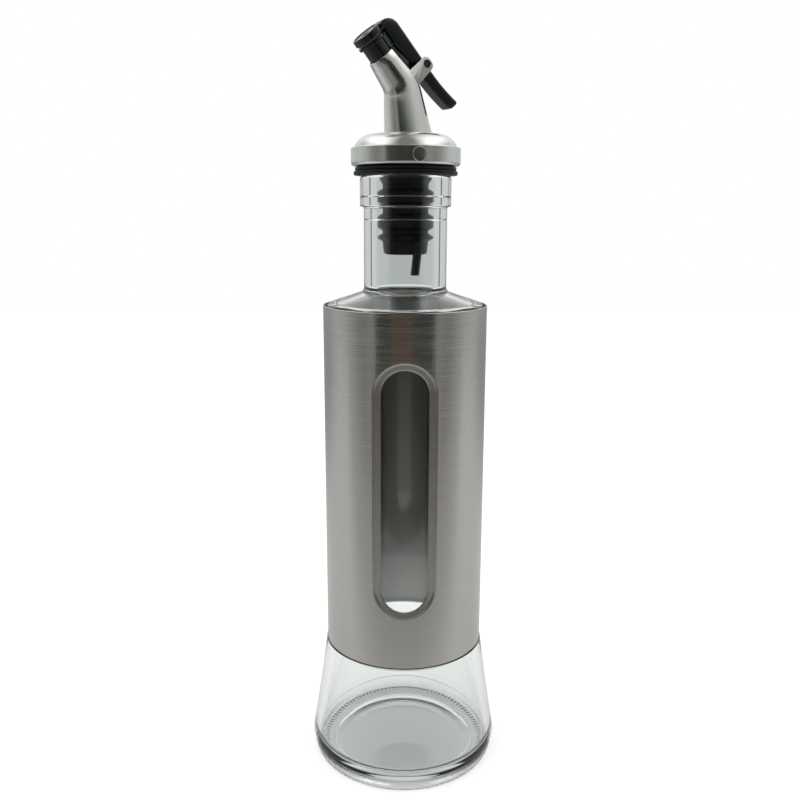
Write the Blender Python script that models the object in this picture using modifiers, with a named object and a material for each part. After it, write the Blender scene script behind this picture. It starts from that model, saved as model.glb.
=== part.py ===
"""Oil cruet: a glass bottle in a windowed steel sleeve, with a lever pourer.

The bottle stands on z = 0 with its axis on Z, and the window of the sleeve
faces -Y. The pourer is modelled pointing along +X and is then turned by
POURER_YAW about Z. Lengths are in metres and angles in radians.
"""

from math import atan2, cos, degrees, hypot, pi, radians, sin, tan

import bmesh
import bpy
from mathutils import Vector

# Fits
CLEARANCE = 0.0003
SKIM = 0.0001
OVERRUN = 0.0030
SEGMENTS = 48

# Glass bottle, heights from the foot upwards
HEEL_RADIUS = 0.0373
HEEL_HEIGHT = 0.0072
HEEL_STEP = 0.0003
FOOT_RADIUS = 0.0354
FOOT_WIDTH = 0.0075
FOOT_STEP = 0.0003
PUNT_RISE = 0.0040
FLOOR_HEIGHT = 0.0050
FLOOR_DOME = 0.0020
FLOOR_CORNER = 0.0060
BASE_WALL = 0.0042
BASE_WAIST = 0.0300
FLARE_HEIGHT = 0.0482
FLARE_TOP_RADIUS = 0.0313
FLARE_SAG = 0.12
BODY_RADIUS = 0.0298
BODY_HEIGHT = 0.1346
GLASS_WALL = 0.0032
SHOULDER_CORNER = 0.0028
SHOULDER_DROP = 0.0015
SHOULDER_RISE = 0.0052
NECK_FILLET = 0.0022
BORE_FILLET = 0.0028
NECK_RADIUS = 0.0155
NECK_HEIGHT = 0.0310
BORE_RADIUS = 0.01075
FINISH_RADIUS = 0.0169
FINISH_HEIGHT = 0.0109
FINISH_STEP = 0.0013
FINISH_ROUND = 0.0011

# Steel sleeve, rolled from a flat blank with one pressed window
SHEET = 0.0004
SLEEVE_PLAY = 0.0008
SLEEVE_HEIGHT = 0.1344
WINDOW_WIDTH = 0.0180
WINDOW_HEIGHT = 0.0914
WINDOW_SILL = 0.0228
RIM_BAND = 0.0028
RIM_SLOPE = 0.0021
RIM_DEPTH = 0.0005

# Rubber stopper
FLANGE_RADIUS = 0.0191
FLANGE_THICKNESS = 0.0029
FLANGE_LIP = 0.0013
FLANGE_LIP_STEP = 0.0005
FLANGE_GROOVE = 0.0012
FLANGE_EDGE = 0.0004
PLUG_RADIUS = 0.0085
PLUG_LENGTH = 0.0284
PLUG_CHAMFER = 0.0011
PLUG_TAIL_RADIUS = 0.0081
PLUG_CONE = 0.0030
FIN_SLOPE = 0.0011
FINS = ((0.0059, 0.0036), (0.0147, 0.0040), (0.0219, 0.0007))

# Hard core inside the stopper
CORE_RADIUS = 0.0065
CORE_FLANGE_THICKNESS = 0.0020
SPIGOT_RADIUS = 0.0060
SPIGOT_HEIGHT = 0.0067
SPIGOT_EDGE = 0.0005
POUR_BORE = 0.0027
POUR_OFFSET = 0.0015
AIR_OFFSET = 0.0045
AIR_BEARING = radians(152)
AIR_PORT_HEIGHT = 0.0018
AIR_PORT_WIDTH = 0.0024

# Air tube
AIR_TUBE_RADIUS = 0.00165
AIR_TUBE_BORE = 0.0010
AIR_TUBE_FREE = 0.0082
AIR_TUBE_DEPTH = 0.0140
AIR_TUBE_LEAN = 0.0009

# Spout shell: cap, bent spout and ears
POURER_YAW = radians(208)
CAP_RADIUS = 0.0201
CAP_BAND = 0.0066
CAP_BAND_TOP_RADIUS = 0.0193
CAP_BAND_ROUND = 0.0024
CAP_CROWN_RADIUS = 0.0124
CAP_CROWN_ROUND = 0.0068
CAP_CROWN_END = 20
CAP_RISE = 0.0046
CAP_WALL = 0.0026
CAP_LIP = 0.0012
DOME_WALL = 0.0018
FOOT_OFFSET = -0.00085
FOOT_SPOUT_RADIUS = 0.0087
FOOT_LEAN = radians(9)
BEND_SPOUT_RADIUS = 0.0065
BEND_RADIUS = 0.0120
LOWER_LENGTH = 0.0167
BOSS_LENGTH = 0.0060
TIP_LEAN = radians(40.8)
TIP_LENGTH = 0.0130
TIP_RADIUS = 0.0050
PASSAGE_FOOT_RADIUS = 0.0050
PASSAGE_RADIUS = 0.0040
PASSAGE_TIP_RADIUS = 0.0036
VENT_RADIUS = 0.0008
VENT_OFFSET = 0.0118

# Nozzle insert, measured along the spout's tip axis from the tip
NOZZLE_RADIUS = 0.0043
NOZZLE_BORE = 0.0026
NOZZLE_DEPTH = 0.0080
NOZZLE_REACH = 0.0060
NOZZLE_LIP_RADIUS = 0.0052
NOZZLE_LIP = 0.0011
NOZZLE_EDGE = 0.0003

# Hinge
PIN_RADIUS = 0.00105
PIN_DROP = 0.0122
PIN_STANDOFF = 0.0108
PIN_RECESS = 0.0005
EAR_HALF_WIDTH = 0.0026
EAR_END = 0.0019
EAR_FLARE = 0.0008
EAR_THICKNESS = 0.0014
EAR_ROOT = 0.0020

# Lever and lid
LEVER_WIDTH = 0.0070
LEVER_THICKNESS = 0.0040
LEVER_EDGE = 0.0011
LEVER_FILLET = 0.0012
LEVER_LID_REACH = 0.0045
CREST_DROP = 0.0003
CREST_SLOPE = 0.0012
CREST_RADIUS = 0.0045
TAIL_LENGTH = 0.0187
TAIL_STRAIGHT = 0.0035
TAIL_FLARE = 7.45
ARM_SLOPE = 0.0262
ARM_SINK = 0.0012
KNUCKLE_RADIUS = 0.0021
LID_RADIUS = 0.0054
LID_THICKNESS = 0.0024
LID_DISH = 0.0003
LID_DISH_RADIUS = 0.0043
LID_EDGE = 0.0004

# Seal under the lid
SEAL_RADIUS = 0.0048
SEAL_THICKNESS = 0.0009
SEAL_SHOW = 0.0005
SEAL_STEM = 0.0011
SEAL_HEAD = 0.0002

# Heights that follow from the sizes above
BODY_TOP = FLARE_HEIGHT + BODY_HEIGHT
NECK_BASE = BODY_TOP + SHOULDER_RISE
FINISH_BASE = NECK_BASE + NECK_HEIGHT
MOUTH = FINISH_BASE + FINISH_HEIGHT
SLEEVE_BASE = FLARE_HEIGHT + CLEARANCE
SLEEVE_RADIUS = BODY_RADIUS + SLEEVE_PLAY + SHEET
FLANGE_BASE = MOUTH + CLEARANCE
FLANGE_TOP = FLANGE_BASE + FLANGE_THICKNESS
STOPPER_BASE = FLANGE_BASE - PLUG_LENGTH
CORE_BASE = STOPPER_BASE + CLEARANCE
CAP_BASE = FLANGE_TOP + CLEARANCE
CORE_TOP = CAP_BASE + CORE_FLANGE_THICKNESS + SPIGOT_HEIGHT
CAP_TOP = CAP_BASE + CAP_BAND + CAP_RISE
FIN_RADIUS = BORE_RADIUS - CLEARANCE
LEVER_GAP = LEVER_WIDTH / 2 + CLEARANCE
EAR_OUTSIDE = LEVER_GAP + EAR_THICKNESS
LID_BASE = NOZZLE_REACH + CLEARANCE + SEAL_SHOW

# Points of the spout's centre line, in the plane of the pourer
FOOT = Vector((FOOT_OFFSET, 0, CAP_TOP))
FOOT_AXIS = Vector((sin(FOOT_LEAN), 0, cos(FOOT_LEAN)))
TIP_AXIS = Vector((sin(TIP_LEAN), 0, cos(TIP_LEAN)))
BEND = FOOT + FOOT_AXIS * LOWER_LENGTH
TIP = BEND + TIP_AXIS * TIP_LENGTH


# Scene helpers

def clear_scene():
    for found in list(bpy.data.objects):
        bpy.data.objects.remove(found)
    for found in list(bpy.data.collections):
        bpy.data.collections.remove(found)


def new_collection(name):
    made = bpy.data.collections.new(name)
    bpy.context.scene.collection.children.link(made)
    return made


def new_material(name, colour, roughness, metallic=0.0, transmission=0.0):
    made = bpy.data.materials.new(name)
    made.use_nodes = True
    shader = made.node_tree.nodes["Principled BSDF"]
    shader.inputs["Base Color"].default_value = (*colour, 1.0)
    shader.inputs["Roughness"].default_value = roughness
    shader.inputs["Metallic"].default_value = metallic
    shader.inputs["Transmission Weight"].default_value = transmission
    return made


def new_empty(name, location=(0, 0, 0), rotation=(0, 0, 0), parent=None):
    made = bpy.data.objects.new(name, None)
    made.empty_display_size = 0.01
    made.location = location
    made.rotation_euler = rotation
    made.parent = parent
    PARTS.objects.link(made)
    return made


def new_piece(name, mesh, material, parent=None):
    made = bpy.data.objects.new(name, mesh)
    made.parent = parent
    mesh.materials.append(material)
    PARTS.objects.link(made)
    return made


def new_cutter(name, mesh, parent=None):
    made = bpy.data.objects.new(name, mesh)
    made.parent = parent
    made.hide_render = True
    made.display_type = "WIRE"
    CUTTERS.objects.link(made)
    return made


def to_mesh(bm, name):
    mesh = bpy.data.meshes.new(name)
    bm.normal_update()
    bm.to_mesh(mesh)
    bm.free()
    mesh.shade_smooth()
    mesh.set_sharp_from_angle(angle=radians(32))
    return mesh


def combine(target, tool, operation):
    modifier = target.modifiers.new(tool.name, "BOOLEAN")
    modifier.operation = operation
    modifier.object = tool
    modifier.solver = "EXACT"


# Shape helpers

def arc(centre, radius, start, end, count):
    """Points (r, z) on an arc from start to end degrees, both ends included."""
    points = []
    for i in range(count + 1):
        angle = radians(start + (end - start) * i / count)
        points.append((centre[0] + radius * cos(angle), centre[1] + radius * sin(angle)))
    return points


def profile_mesh(name, points, closed):
    """A line of points in the XZ plane, for the Screw modifier."""
    bm = bmesh.new()
    verts = [bm.verts.new((r, 0, z)) for r, z in points]
    for first, second in zip(verts, verts[1:]):
        bm.edges.new((first, second))
    if closed:
        bm.edges.new((verts[-1], verts[0]))
    return to_mesh(bm, name)


def turn(made, segments):
    """Turns a piece's profile once round its own Z axis."""
    screw = made.modifiers.new("Turn", "SCREW")
    screw.axis = "Z"
    screw.angle = 2 * pi
    screw.steps = segments
    screw.render_steps = segments
    screw.use_merge_vertices = True
    screw.merge_threshold = 0.00001
    screw.use_smooth_shade = True
    return made


def cylinder_mesh(name, radius, bottom, top, segments, axis="Z", top_radius=None):
    """A cylinder or cone between two heights on one of its frame's axes."""
    bm = bmesh.new()
    bmesh.ops.create_cone(bm, cap_ends=True, segments=segments, radius1=radius,
                          radius2=radius if top_radius is None else top_radius, depth=top - bottom)
    bmesh.ops.translate(bm, verts=bm.verts, vec=(0, 0, (top + bottom) / 2))
    if axis == "Y":
        for vert in bm.verts:
            vert.co = Vector((vert.co.x, vert.co.z, -vert.co.y))
    return to_mesh(bm, name)


def plate_mesh(name, outline, thickness, middle=0.0):
    """An outline of (x, z) points, as a plate along Y about y = middle."""
    bm = bmesh.new()
    front = [bm.verts.new((x, middle - thickness / 2, z)) for x, z in outline]
    face = bm.faces.new(front)
    grown = bmesh.ops.extrude_face_region(bm, geom=[face])
    moved = [item for item in grown["geom"] if isinstance(item, bmesh.types.BMVert)]
    bmesh.ops.translate(bm, verts=moved, vec=(0, thickness, 0))
    bmesh.ops.recalc_face_normals(bm, faces=bm.faces)
    return to_mesh(bm, name)


def curve_mesh(name, points, radii, sides, capped=True):
    """A round bar through points, with a radius at each point, as a mesh."""
    curve = bpy.data.curves.new(name, "CURVE")
    curve.dimensions = "3D"
    curve.bevel_depth = 1.0
    curve.bevel_resolution = (sides - 4) // 2
    curve.use_fill_caps = capped
    spline = curve.splines.new("POLY")
    spline.points.add(len(points) - 1)
    for point, place, radius in zip(spline.points, points, radii):
        point.co = (*place, 1.0)
        point.radius = radius
    holder = bpy.data.objects.new(name, curve)
    CUTTERS.objects.link(holder)
    bpy.context.view_layer.update()
    evaluated = holder.evaluated_get(bpy.context.evaluated_depsgraph_get())
    mesh = bpy.data.meshes.new_from_object(evaluated)
    bpy.data.objects.remove(holder)
    bm = bmesh.new()
    bm.from_mesh(mesh)
    bmesh.ops.remove_doubles(bm, verts=bm.verts, dist=0.000001)
    bmesh.ops.recalc_face_normals(bm, faces=bm.faces)
    bpy.data.meshes.remove(mesh)
    return to_mesh(bm, name)


# Glass bottle

def flare_radius(height):
    """Outer radius of the flared base between the heel and the ledge."""
    share = (FLARE_HEIGHT - height) / (FLARE_HEIGHT - HEEL_HEIGHT)
    bowed = share + FLARE_SAG * share * (share - 1)
    return FLARE_TOP_RADIUS + (HEEL_RADIUS - FLARE_TOP_RADIUS) * bowed


def bottle_outside():
    """Outer side of the bottle from the mouth down to the middle of the punt."""
    rise = SHOULDER_RISE + SHOULDER_DROP - SHOULDER_CORNER
    slope = rise / (BODY_RADIUS - SHOULDER_CORNER - NECK_RADIUS)
    lean = 90 - degrees(atan2(slope, 1))
    shoulder = (BODY_RADIUS - SHOULDER_CORNER, BODY_TOP - SHOULDER_DROP)
    points = arc((FINISH_RADIUS - FINISH_ROUND, MOUTH - FINISH_ROUND), FINISH_ROUND, 90, 0, 3)
    points += [(FINISH_RADIUS, FINISH_BASE + FINISH_STEP / 2), (NECK_RADIUS + FINISH_STEP / 2, FINISH_BASE)]
    points += [(NECK_RADIUS, FINISH_BASE - FINISH_STEP / 2)]
    fillet = (NECK_RADIUS + NECK_FILLET, NECK_BASE + NECK_FILLET * 0.75)
    points += arc(fillet, NECK_FILLET, 180, 180 + lean, 3)
    points += arc(shoulder, SHOULDER_CORNER, lean, 0, 3)
    points += [(BODY_RADIUS, FLARE_HEIGHT)]
    flare_steps = 6
    for i in range(flare_steps):
        height = FLARE_HEIGHT - (FLARE_HEIGHT - HEEL_HEIGHT) * i / flare_steps
        points.append((flare_radius(height), height))
    points.append((HEEL_RADIUS, HEEL_HEIGHT))
    heel = HEEL_RADIUS - HEEL_STEP - FOOT_RADIUS
    for i in range(5):
        angle = pi / 2 * i / 4
        points.append((FOOT_RADIUS + heel * cos(angle), (HEEL_HEIGHT - SKIM) * (1 - sin(angle))))
    rim = FOOT_RADIUS - FOOT_WIDTH
    points += [(rim, 0), (rim - SKIM, FOOT_STEP)]
    for share in (0.9, 0.6, 0.3):
        points.append((rim * share, FOOT_STEP + (PUNT_RISE - FOOT_STEP) * (1 - share ** 2)))
    return points + [(0, PUNT_RISE)]


def bottle_inside():
    """Inner side of the bottle from the middle of the floor up to the mouth."""
    inner = BODY_RADIUS - GLASS_WALL
    base = FLOOR_HEIGHT + FLOOR_CORNER
    flat = flare_radius(base) - BASE_WALL - FLOOR_CORNER
    points = [(flat * share, FLOOR_HEIGHT + FLOOR_DOME * (1 - share ** 2)) for share in (0, 0.6)]
    points += arc((flat, base), FLOOR_CORNER, -90, 0, 4)
    waist_wall = BASE_WALL + (GLASS_WALL - BASE_WALL) * (BASE_WAIST - base) / (FLARE_HEIGHT - base)
    points += [(flare_radius(BASE_WAIST) - waist_wall, BASE_WAIST)]
    points += [(inner, FLARE_HEIGHT + GLASS_WALL)]
    shoulder = (inner - SHOULDER_CORNER, BODY_TOP - SHOULDER_DROP - GLASS_WALL)
    points += arc(shoulder, SHOULDER_CORNER, 0, 72, 2)
    points += arc((BORE_RADIUS + BORE_FILLET, NECK_BASE), BORE_FILLET, 252, 180, 3)
    return points + [(BORE_RADIUS, MOUTH - FINISH_ROUND / 2), (BORE_RADIUS + FINISH_ROUND / 2, MOUTH)]


def build_glass_bottle():
    profile = profile_mesh("glass_bottle", bottle_inside() + bottle_outside(), False)
    return turn(new_piece("glass_bottle", profile, GLASS), SEGMENTS)


# Steel sleeve

def window_spine(height):
    """Nearest height on the straight line between the window's two round ends."""
    low = SLEEVE_BASE + WINDOW_SILL + WINDOW_WIDTH / 2
    high = low + WINDOW_HEIGHT - WINDOW_WIDTH
    return min(max(height, low), high)


def window_outline(radius, count):
    """Points (x, z) round a window outline of this half width."""
    low = window_spine(0)
    high = window_spine(1)
    return arc((0, high), radius, 0, 180, count) + arc((0, low), radius, 180, 360, count)


def cut_columns(bm, positions):
    """Cuts the blank along vertical lines, where it is later rolled."""
    for x in positions:
        geometry = list(bm.verts) + list(bm.edges) + list(bm.faces)
        bmesh.ops.bisect_plane(bm, geom=geometry, dist=0.0000001, plane_co=(x, 0, 0), plane_no=(1, 0, 0))


def pull_rim(bm, radius, depth_layer, depth):
    """Adds one ring of sheet inside the hole, at this distance from the window's spine."""
    hole = [edge for edge in bm.edges if edge.is_boundary and is_hole_edge(edge)]
    grown = bmesh.ops.extrude_edge_only(bm, edges=hole)
    for vert in [item for item in grown["geom"] if isinstance(item, bmesh.types.BMVert)]:
        spine = window_spine(vert.co.z)
        reach = hypot(vert.co.x, vert.co.z - spine)
        vert.co.x *= radius / reach
        vert.co.z = spine + (vert.co.z - spine) * radius / reach
        vert[depth_layer] = depth


def is_hole_edge(edge):
    middle = (edge.verts[0].co + edge.verts[1].co) / 2
    reach = hypot(middle.x, middle.z - window_spine(middle.z))
    return reach < WINDOW_WIDTH / 2 + RIM_BAND * 1.2


def sleeve_blank():
    """The flat blank, x along the sheet and z up, with its pressed window."""
    bottom = SLEEVE_BASE
    top = SLEEVE_BASE + SLEEVE_HEIGHT
    column = 2 * pi * SLEEVE_RADIUS / SEGMENTS
    patch = column * 4
    bm = bmesh.new()
    depth_layer = bm.verts.layers.float.new("depth")
    loops = [[(-patch, bottom), (patch, bottom), (patch, top), (-patch, top)]]
    loops.append(window_outline(WINDOW_WIDTH / 2 + RIM_BAND, 12))
    edges = []
    for loop in loops:
        verts = [bm.verts.new((x, 0, z)) for x, z in loop]
        for first, second in zip(verts, verts[1:] + verts[:1]):
            edges.append(bm.edges.new((first, second)))
    bmesh.ops.triangle_fill(bm, edges=edges, use_beauty=True)
    cut_columns(bm, [column * (i / 2 - 4) for i in range(1, 16)])
    pull_rim(bm, WINDOW_WIDTH / 2 + RIM_BAND - RIM_SLOPE, depth_layer, RIM_DEPTH)
    pull_rim(bm, WINDOW_WIDTH / 2, depth_layer, RIM_DEPTH)
    for side in (-1, 1):
        edge_x = side * patch
        for _ in range((SEGMENTS - 8) // 2):
            last = [edge for edge in bm.edges if all(abs(v.co.x - edge_x) < 0.00001 for v in edge.verts)]
            grown = bmesh.ops.extrude_edge_only(bm, edges=last)
            verts = [item for item in grown["geom"] if isinstance(item, bmesh.types.BMVert)]
            bmesh.ops.translate(bm, verts=verts, vec=(side * column, 0, 0))
            edge_x += side * column
    return bm, depth_layer


def build_steel_sleeve():
    bm, depth_layer = sleeve_blank()
    for vert in bm.verts:
        angle = vert.co.x / SLEEVE_RADIUS
        radius = SLEEVE_RADIUS - vert[depth_layer]
        vert.co = Vector((radius * sin(angle), -radius * cos(angle), vert.co.z))
    bmesh.ops.remove_doubles(bm, verts=bm.verts, dist=0.00001)
    bmesh.ops.recalc_face_normals(bm, faces=bm.faces)
    outward = sum(face.normal.dot(face.calc_center_median() * Vector((1, 1, 0))) for face in bm.faces)
    if outward < 0:
        bmesh.ops.reverse_faces(bm, faces=bm.faces)
    made = new_piece("steel_sleeve", to_mesh(bm, "steel_sleeve"), STEEL)
    wall = made.modifiers.new("Sheet", "SOLIDIFY")
    wall.thickness = SHEET
    wall.offset = -1.0
    wall.use_even_offset = True
    return made


# Rubber stopper

def stopper_outside():
    """Outer side of the stopper from its top face down to its end."""
    lip = FLANGE_RADIUS - FLANGE_LIP_STEP
    groove = FLANGE_TOP - FLANGE_LIP
    points = [(lip - FLANGE_EDGE, FLANGE_TOP), (lip, FLANGE_TOP - FLANGE_EDGE), (lip, groove)]
    points += [(FLANGE_RADIUS - FLANGE_GROOVE, groove - SKIM), (FLANGE_RADIUS, groove - FLANGE_EDGE)]
    points += [(FLANGE_RADIUS, FLANGE_BASE + FLANGE_EDGE), (FLANGE_RADIUS - FLANGE_EDGE, FLANGE_BASE)]
    points += [(FIN_RADIUS, FLANGE_BASE), (FIN_RADIUS, FLANGE_BASE - FLANGE_EDGE)]
    points += [(PLUG_RADIUS, FLANGE_BASE - PLUG_CONE)]
    for drop, height in FINS:
        top = FLANGE_BASE - drop
        points += [(PLUG_RADIUS, top + FIN_SLOPE), (FIN_RADIUS, top)]
        points += [(FIN_RADIUS, top - height), (PLUG_RADIUS, top - height - FIN_SLOPE)]
    points += [(PLUG_TAIL_RADIUS, STOPPER_BASE + PLUG_CHAMFER)]
    return points + [(PLUG_TAIL_RADIUS - PLUG_CHAMFER / 2, STOPPER_BASE)]


def build_stopper():
    bore = CORE_RADIUS + CLEARANCE
    points = [(bore, FLANGE_TOP)] + stopper_outside() + [(bore, STOPPER_BASE)]
    profile = profile_mesh("stopper", points, True)
    return turn(new_piece("stopper", profile, RUBBER), SEGMENTS)


# Core and air tube

def build_plug_core(parent):
    flange = CAP_RADIUS - CAP_WALL - CLEARANCE
    flange_top = CAP_BASE + CORE_FLANGE_THICKNESS
    points = [(0, CORE_TOP), (SPIGOT_RADIUS - SPIGOT_EDGE, CORE_TOP), (SPIGOT_RADIUS, CORE_TOP - SPIGOT_EDGE)]
    points += [(SPIGOT_RADIUS, flange_top), (flange, flange_top), (flange, CAP_BASE)]
    points += [(CORE_RADIUS, CAP_BASE), (CORE_RADIUS, CORE_BASE), (0, CORE_BASE)]
    core = turn(new_piece("plug_core", profile_mesh("plug_core", points, False), BLACK_MATT, parent), 36)

    pour = cylinder_mesh("pour_bore", POUR_BORE, CORE_BASE - OVERRUN, CORE_TOP + OVERRUN, 16)
    pour_tool = new_cutter("pour_bore", pour, parent)
    pour_tool.location = Vector((-cos(AIR_BEARING), -sin(AIR_BEARING), 0)) * POUR_OFFSET
    combine(core, pour_tool, "DIFFERENCE")

    port_top = flange_top + AIR_PORT_HEIGHT
    air = cylinder_mesh("air_bore", AIR_TUBE_RADIUS + CLEARANCE, CORE_BASE - OVERRUN, port_top, 16)
    air_tool = new_cutter("air_bore", air, parent)
    air_tool.location = Vector((cos(AIR_BEARING), sin(AIR_BEARING), 0)) * AIR_OFFSET
    combine(core, air_tool, "DIFFERENCE")

    bm = bmesh.new()
    bmesh.ops.create_cube(bm, size=1.0)
    port_height = AIR_PORT_HEIGHT - CLEARANCE
    port_middle = Vector((AIR_OFFSET + SPIGOT_RADIUS / 2, 0, port_top - SKIM - port_height / 2))
    bmesh.ops.scale(bm, vec=(SPIGOT_RADIUS, AIR_PORT_WIDTH, port_height), verts=bm.verts)
    bmesh.ops.translate(bm, vec=port_middle, verts=bm.verts)
    port_tool = new_cutter("air_port", to_mesh(bm, "air_port"), parent)
    port_tool.rotation_euler.z = AIR_BEARING
    combine(core, port_tool, "DIFFERENCE")
    return core


def build_air_tube(parent):
    """A tube pushed into the core, whose free end leans towards the axis."""
    top = CORE_BASE + AIR_TUBE_DEPTH
    points = [(AIR_OFFSET, 0, top), (AIR_OFFSET, 0, CORE_BASE)]
    steps = 4
    for i in range(1, steps + 1):
        share = i / steps
        points.append((AIR_OFFSET - AIR_TUBE_LEAN * share, 0, CORE_BASE - AIR_TUBE_FREE * share))
    mesh = curve_mesh("air_tube", points, [AIR_TUBE_RADIUS] * len(points), 12, capped=False)
    made = new_piece("air_tube", mesh, BLACK_MATT, parent)
    made.rotation_euler.z = AIR_BEARING
    wall = made.modifiers.new("Wall", "SOLIDIFY")
    wall.thickness = AIR_TUBE_RADIUS - AIR_TUBE_BORE
    wall.offset = -1.0
    return made


# Spout shell

def cap_profile():
    """The cap from its crown, down its outside and up its hollow underside."""
    band_top = CAP_BASE + CAP_BAND
    inside = CAP_RADIUS - CAP_WALL
    crown = (CAP_CROWN_RADIUS, CAP_TOP - CAP_CROWN_ROUND)
    inner_round = CAP_CROWN_ROUND - DOME_WALL
    points = [(0, CAP_TOP)] + arc(crown, CAP_CROWN_ROUND, 90, CAP_CROWN_END, 5)
    for angle in (radians(80), radians(40), 0):
        radius = CAP_BAND_TOP_RADIUS + (CAP_RADIUS - CAP_BAND_TOP_RADIUS) * cos(angle)
        points.append((radius, band_top - CAP_BAND_ROUND * (1 - sin(angle))))
    points += arc((CAP_RADIUS - CAP_LIP, CAP_BASE + CAP_LIP), CAP_LIP, 0, -90, 3)
    points += [(inside, CAP_BASE), (inside, crown[1])] + arc(crown, inner_round, CAP_CROWN_END, 90, 4)
    return points + [(0, CAP_TOP - DOME_WALL)]


def spout_line():
    """Centre points and radii of the spout, from the boss under the cap to the tip."""
    turn_angle = TIP_LEAN - FOOT_LEAN
    tangent = BEND_RADIUS * tan(turn_angle / 2)
    start = FOOT - FOOT_AXIS * BOSS_LENGTH
    centre = BEND - FOOT_AXIS * tangent + Vector((cos(FOOT_LEAN), 0, -sin(FOOT_LEAN))) * BEND_RADIUS
    points = [start, FOOT]
    radii = [FOOT_SPOUT_RADIUS + (FOOT_SPOUT_RADIUS - BEND_SPOUT_RADIUS) * BOSS_LENGTH / LOWER_LENGTH]
    radii.append(FOOT_SPOUT_RADIUS)
    lower_end = LOWER_LENGTH - tangent
    for share in (0.4, 0.75):
        along = lower_end * share
        points.append(FOOT + FOOT_AXIS * along)
        radii.append(FOOT_SPOUT_RADIUS + (BEND_SPOUT_RADIUS - FOOT_SPOUT_RADIUS) * along / LOWER_LENGTH)
    bend_steps = 6
    for i in range(bend_steps + 1):
        share = i / bend_steps
        lean = FOOT_LEAN + turn_angle * share
        points.append(centre + Vector((-cos(lean), 0, sin(lean))) * BEND_RADIUS)
        along = (2 * share - 1) * tangent
        if along < 0:
            radii.append(BEND_SPOUT_RADIUS + (BEND_SPOUT_RADIUS - FOOT_SPOUT_RADIUS) * along / LOWER_LENGTH)
        else:
            radii.append(BEND_SPOUT_RADIUS + (TIP_RADIUS - BEND_SPOUT_RADIUS) * along / TIP_LENGTH)
    points.append(TIP)
    radii.append(TIP_RADIUS)
    return points, radii


def ear_outline():
    """One ear about the pin, in the lever's frame: a round end on a straight plate."""
    root = PIN_STANDOFF - EAR_ROOT
    corner = EAR_HALF_WIDTH - EAR_END
    outline = arc((0, corner), EAR_END, 90, 180, 4) + arc((0, -corner), EAR_END, 180, 270, 4)
    return outline + [(root, -EAR_HALF_WIDTH - EAR_FLARE), (root, EAR_HALF_WIDTH)]


def build_spout_shell(parent, tip_frame, pin_frame):
    cap = profile_mesh("spout_shell", cap_profile(), False)
    shell = turn(new_piece("spout_shell", cap, SILVER, parent), SEGMENTS)
    points, radii = spout_line()
    spout = new_cutter("spout_body", curve_mesh("spout_body", points, radii, 24), parent)
    combine(shell, spout, "UNION")
    for side in (-1, 1):
        middle = side * (EAR_OUTSIDE - EAR_THICKNESS / 2)
        plate = plate_mesh("ear", ear_outline(), EAR_THICKNESS, middle)
        combine(shell, new_cutter("ear_left" if side > 0 else "ear_right", plate, pin_frame), "UNION")

    socket = cylinder_mesh("spigot_socket", SPIGOT_RADIUS + CLEARANCE, CAP_BASE, CORE_TOP + CLEARANCE, 32)
    combine(shell, new_cutter("spigot_socket", socket, parent), "DIFFERENCE")

    lower = cylinder_mesh("lower_passage", PASSAGE_FOOT_RADIUS, -BOSS_LENGTH, LOWER_LENGTH, 16,
                          top_radius=PASSAGE_RADIUS)
    lower_tool = new_cutter("lower_passage", lower, parent)
    lower_tool.location = FOOT
    lower_tool.rotation_euler.y = FOOT_LEAN
    combine(shell, lower_tool, "DIFFERENCE")

    upper = cylinder_mesh("upper_passage", PASSAGE_TIP_RADIUS, -TIP_LENGTH - OVERRUN / 3, 0, 16)
    combine(shell, new_cutter("upper_passage", upper, tip_frame), "DIFFERENCE")
    seat = cylinder_mesh("nozzle_seat", NOZZLE_RADIUS + CLEARANCE, -NOZZLE_DEPTH - CLEARANCE, OVERRUN, 24)
    combine(shell, new_cutter("nozzle_seat", seat, tip_frame), "DIFFERENCE")

    reach = EAR_OUTSIDE + OVERRUN
    hole = cylinder_mesh("ear_holes", PIN_RADIUS + CLEARANCE, -reach, reach, 16, "Y")
    combine(shell, new_cutter("ear_holes", hole, pin_frame), "DIFFERENCE")
    vent = cylinder_mesh("vent", VENT_RADIUS, CAP_TOP - CAP_RISE - DOME_WALL, CAP_TOP + OVERRUN, 12)
    vent_tool = new_cutter("vent", vent, parent)
    vent_tool.location.x = -VENT_OFFSET
    combine(shell, vent_tool, "DIFFERENCE")
    return shell


# Nozzle insert

def build_nozzle_insert(tip_frame):
    neck_top = NOZZLE_REACH - NOZZLE_LIP
    points = [(NOZZLE_BORE, NOZZLE_REACH), (NOZZLE_LIP_RADIUS - NOZZLE_EDGE, NOZZLE_REACH)]
    points += [(NOZZLE_LIP_RADIUS, NOZZLE_REACH - NOZZLE_EDGE), (NOZZLE_LIP_RADIUS, neck_top)]
    points += [(NOZZLE_RADIUS, neck_top - NOZZLE_EDGE), (NOZZLE_RADIUS, -NOZZLE_DEPTH)]
    points += [(NOZZLE_BORE, -NOZZLE_DEPTH)]
    profile = profile_mesh("nozzle_insert", points, True)
    return turn(new_piece("nozzle_insert", profile, BLACK_GLOSS, tip_frame), 32)


# Lever, in the frame of the pin: x points from the pin to the spout's axis and z along the arm

def arm_middle(height):
    """How far the middle of the bar lies from the pin, towards the spout, at this height."""
    flare = max(0.0, -TAIL_STRAIGHT - height)
    return ARM_SINK + ARM_SLOPE * height - TAIL_FLARE * flare ** 2


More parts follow.
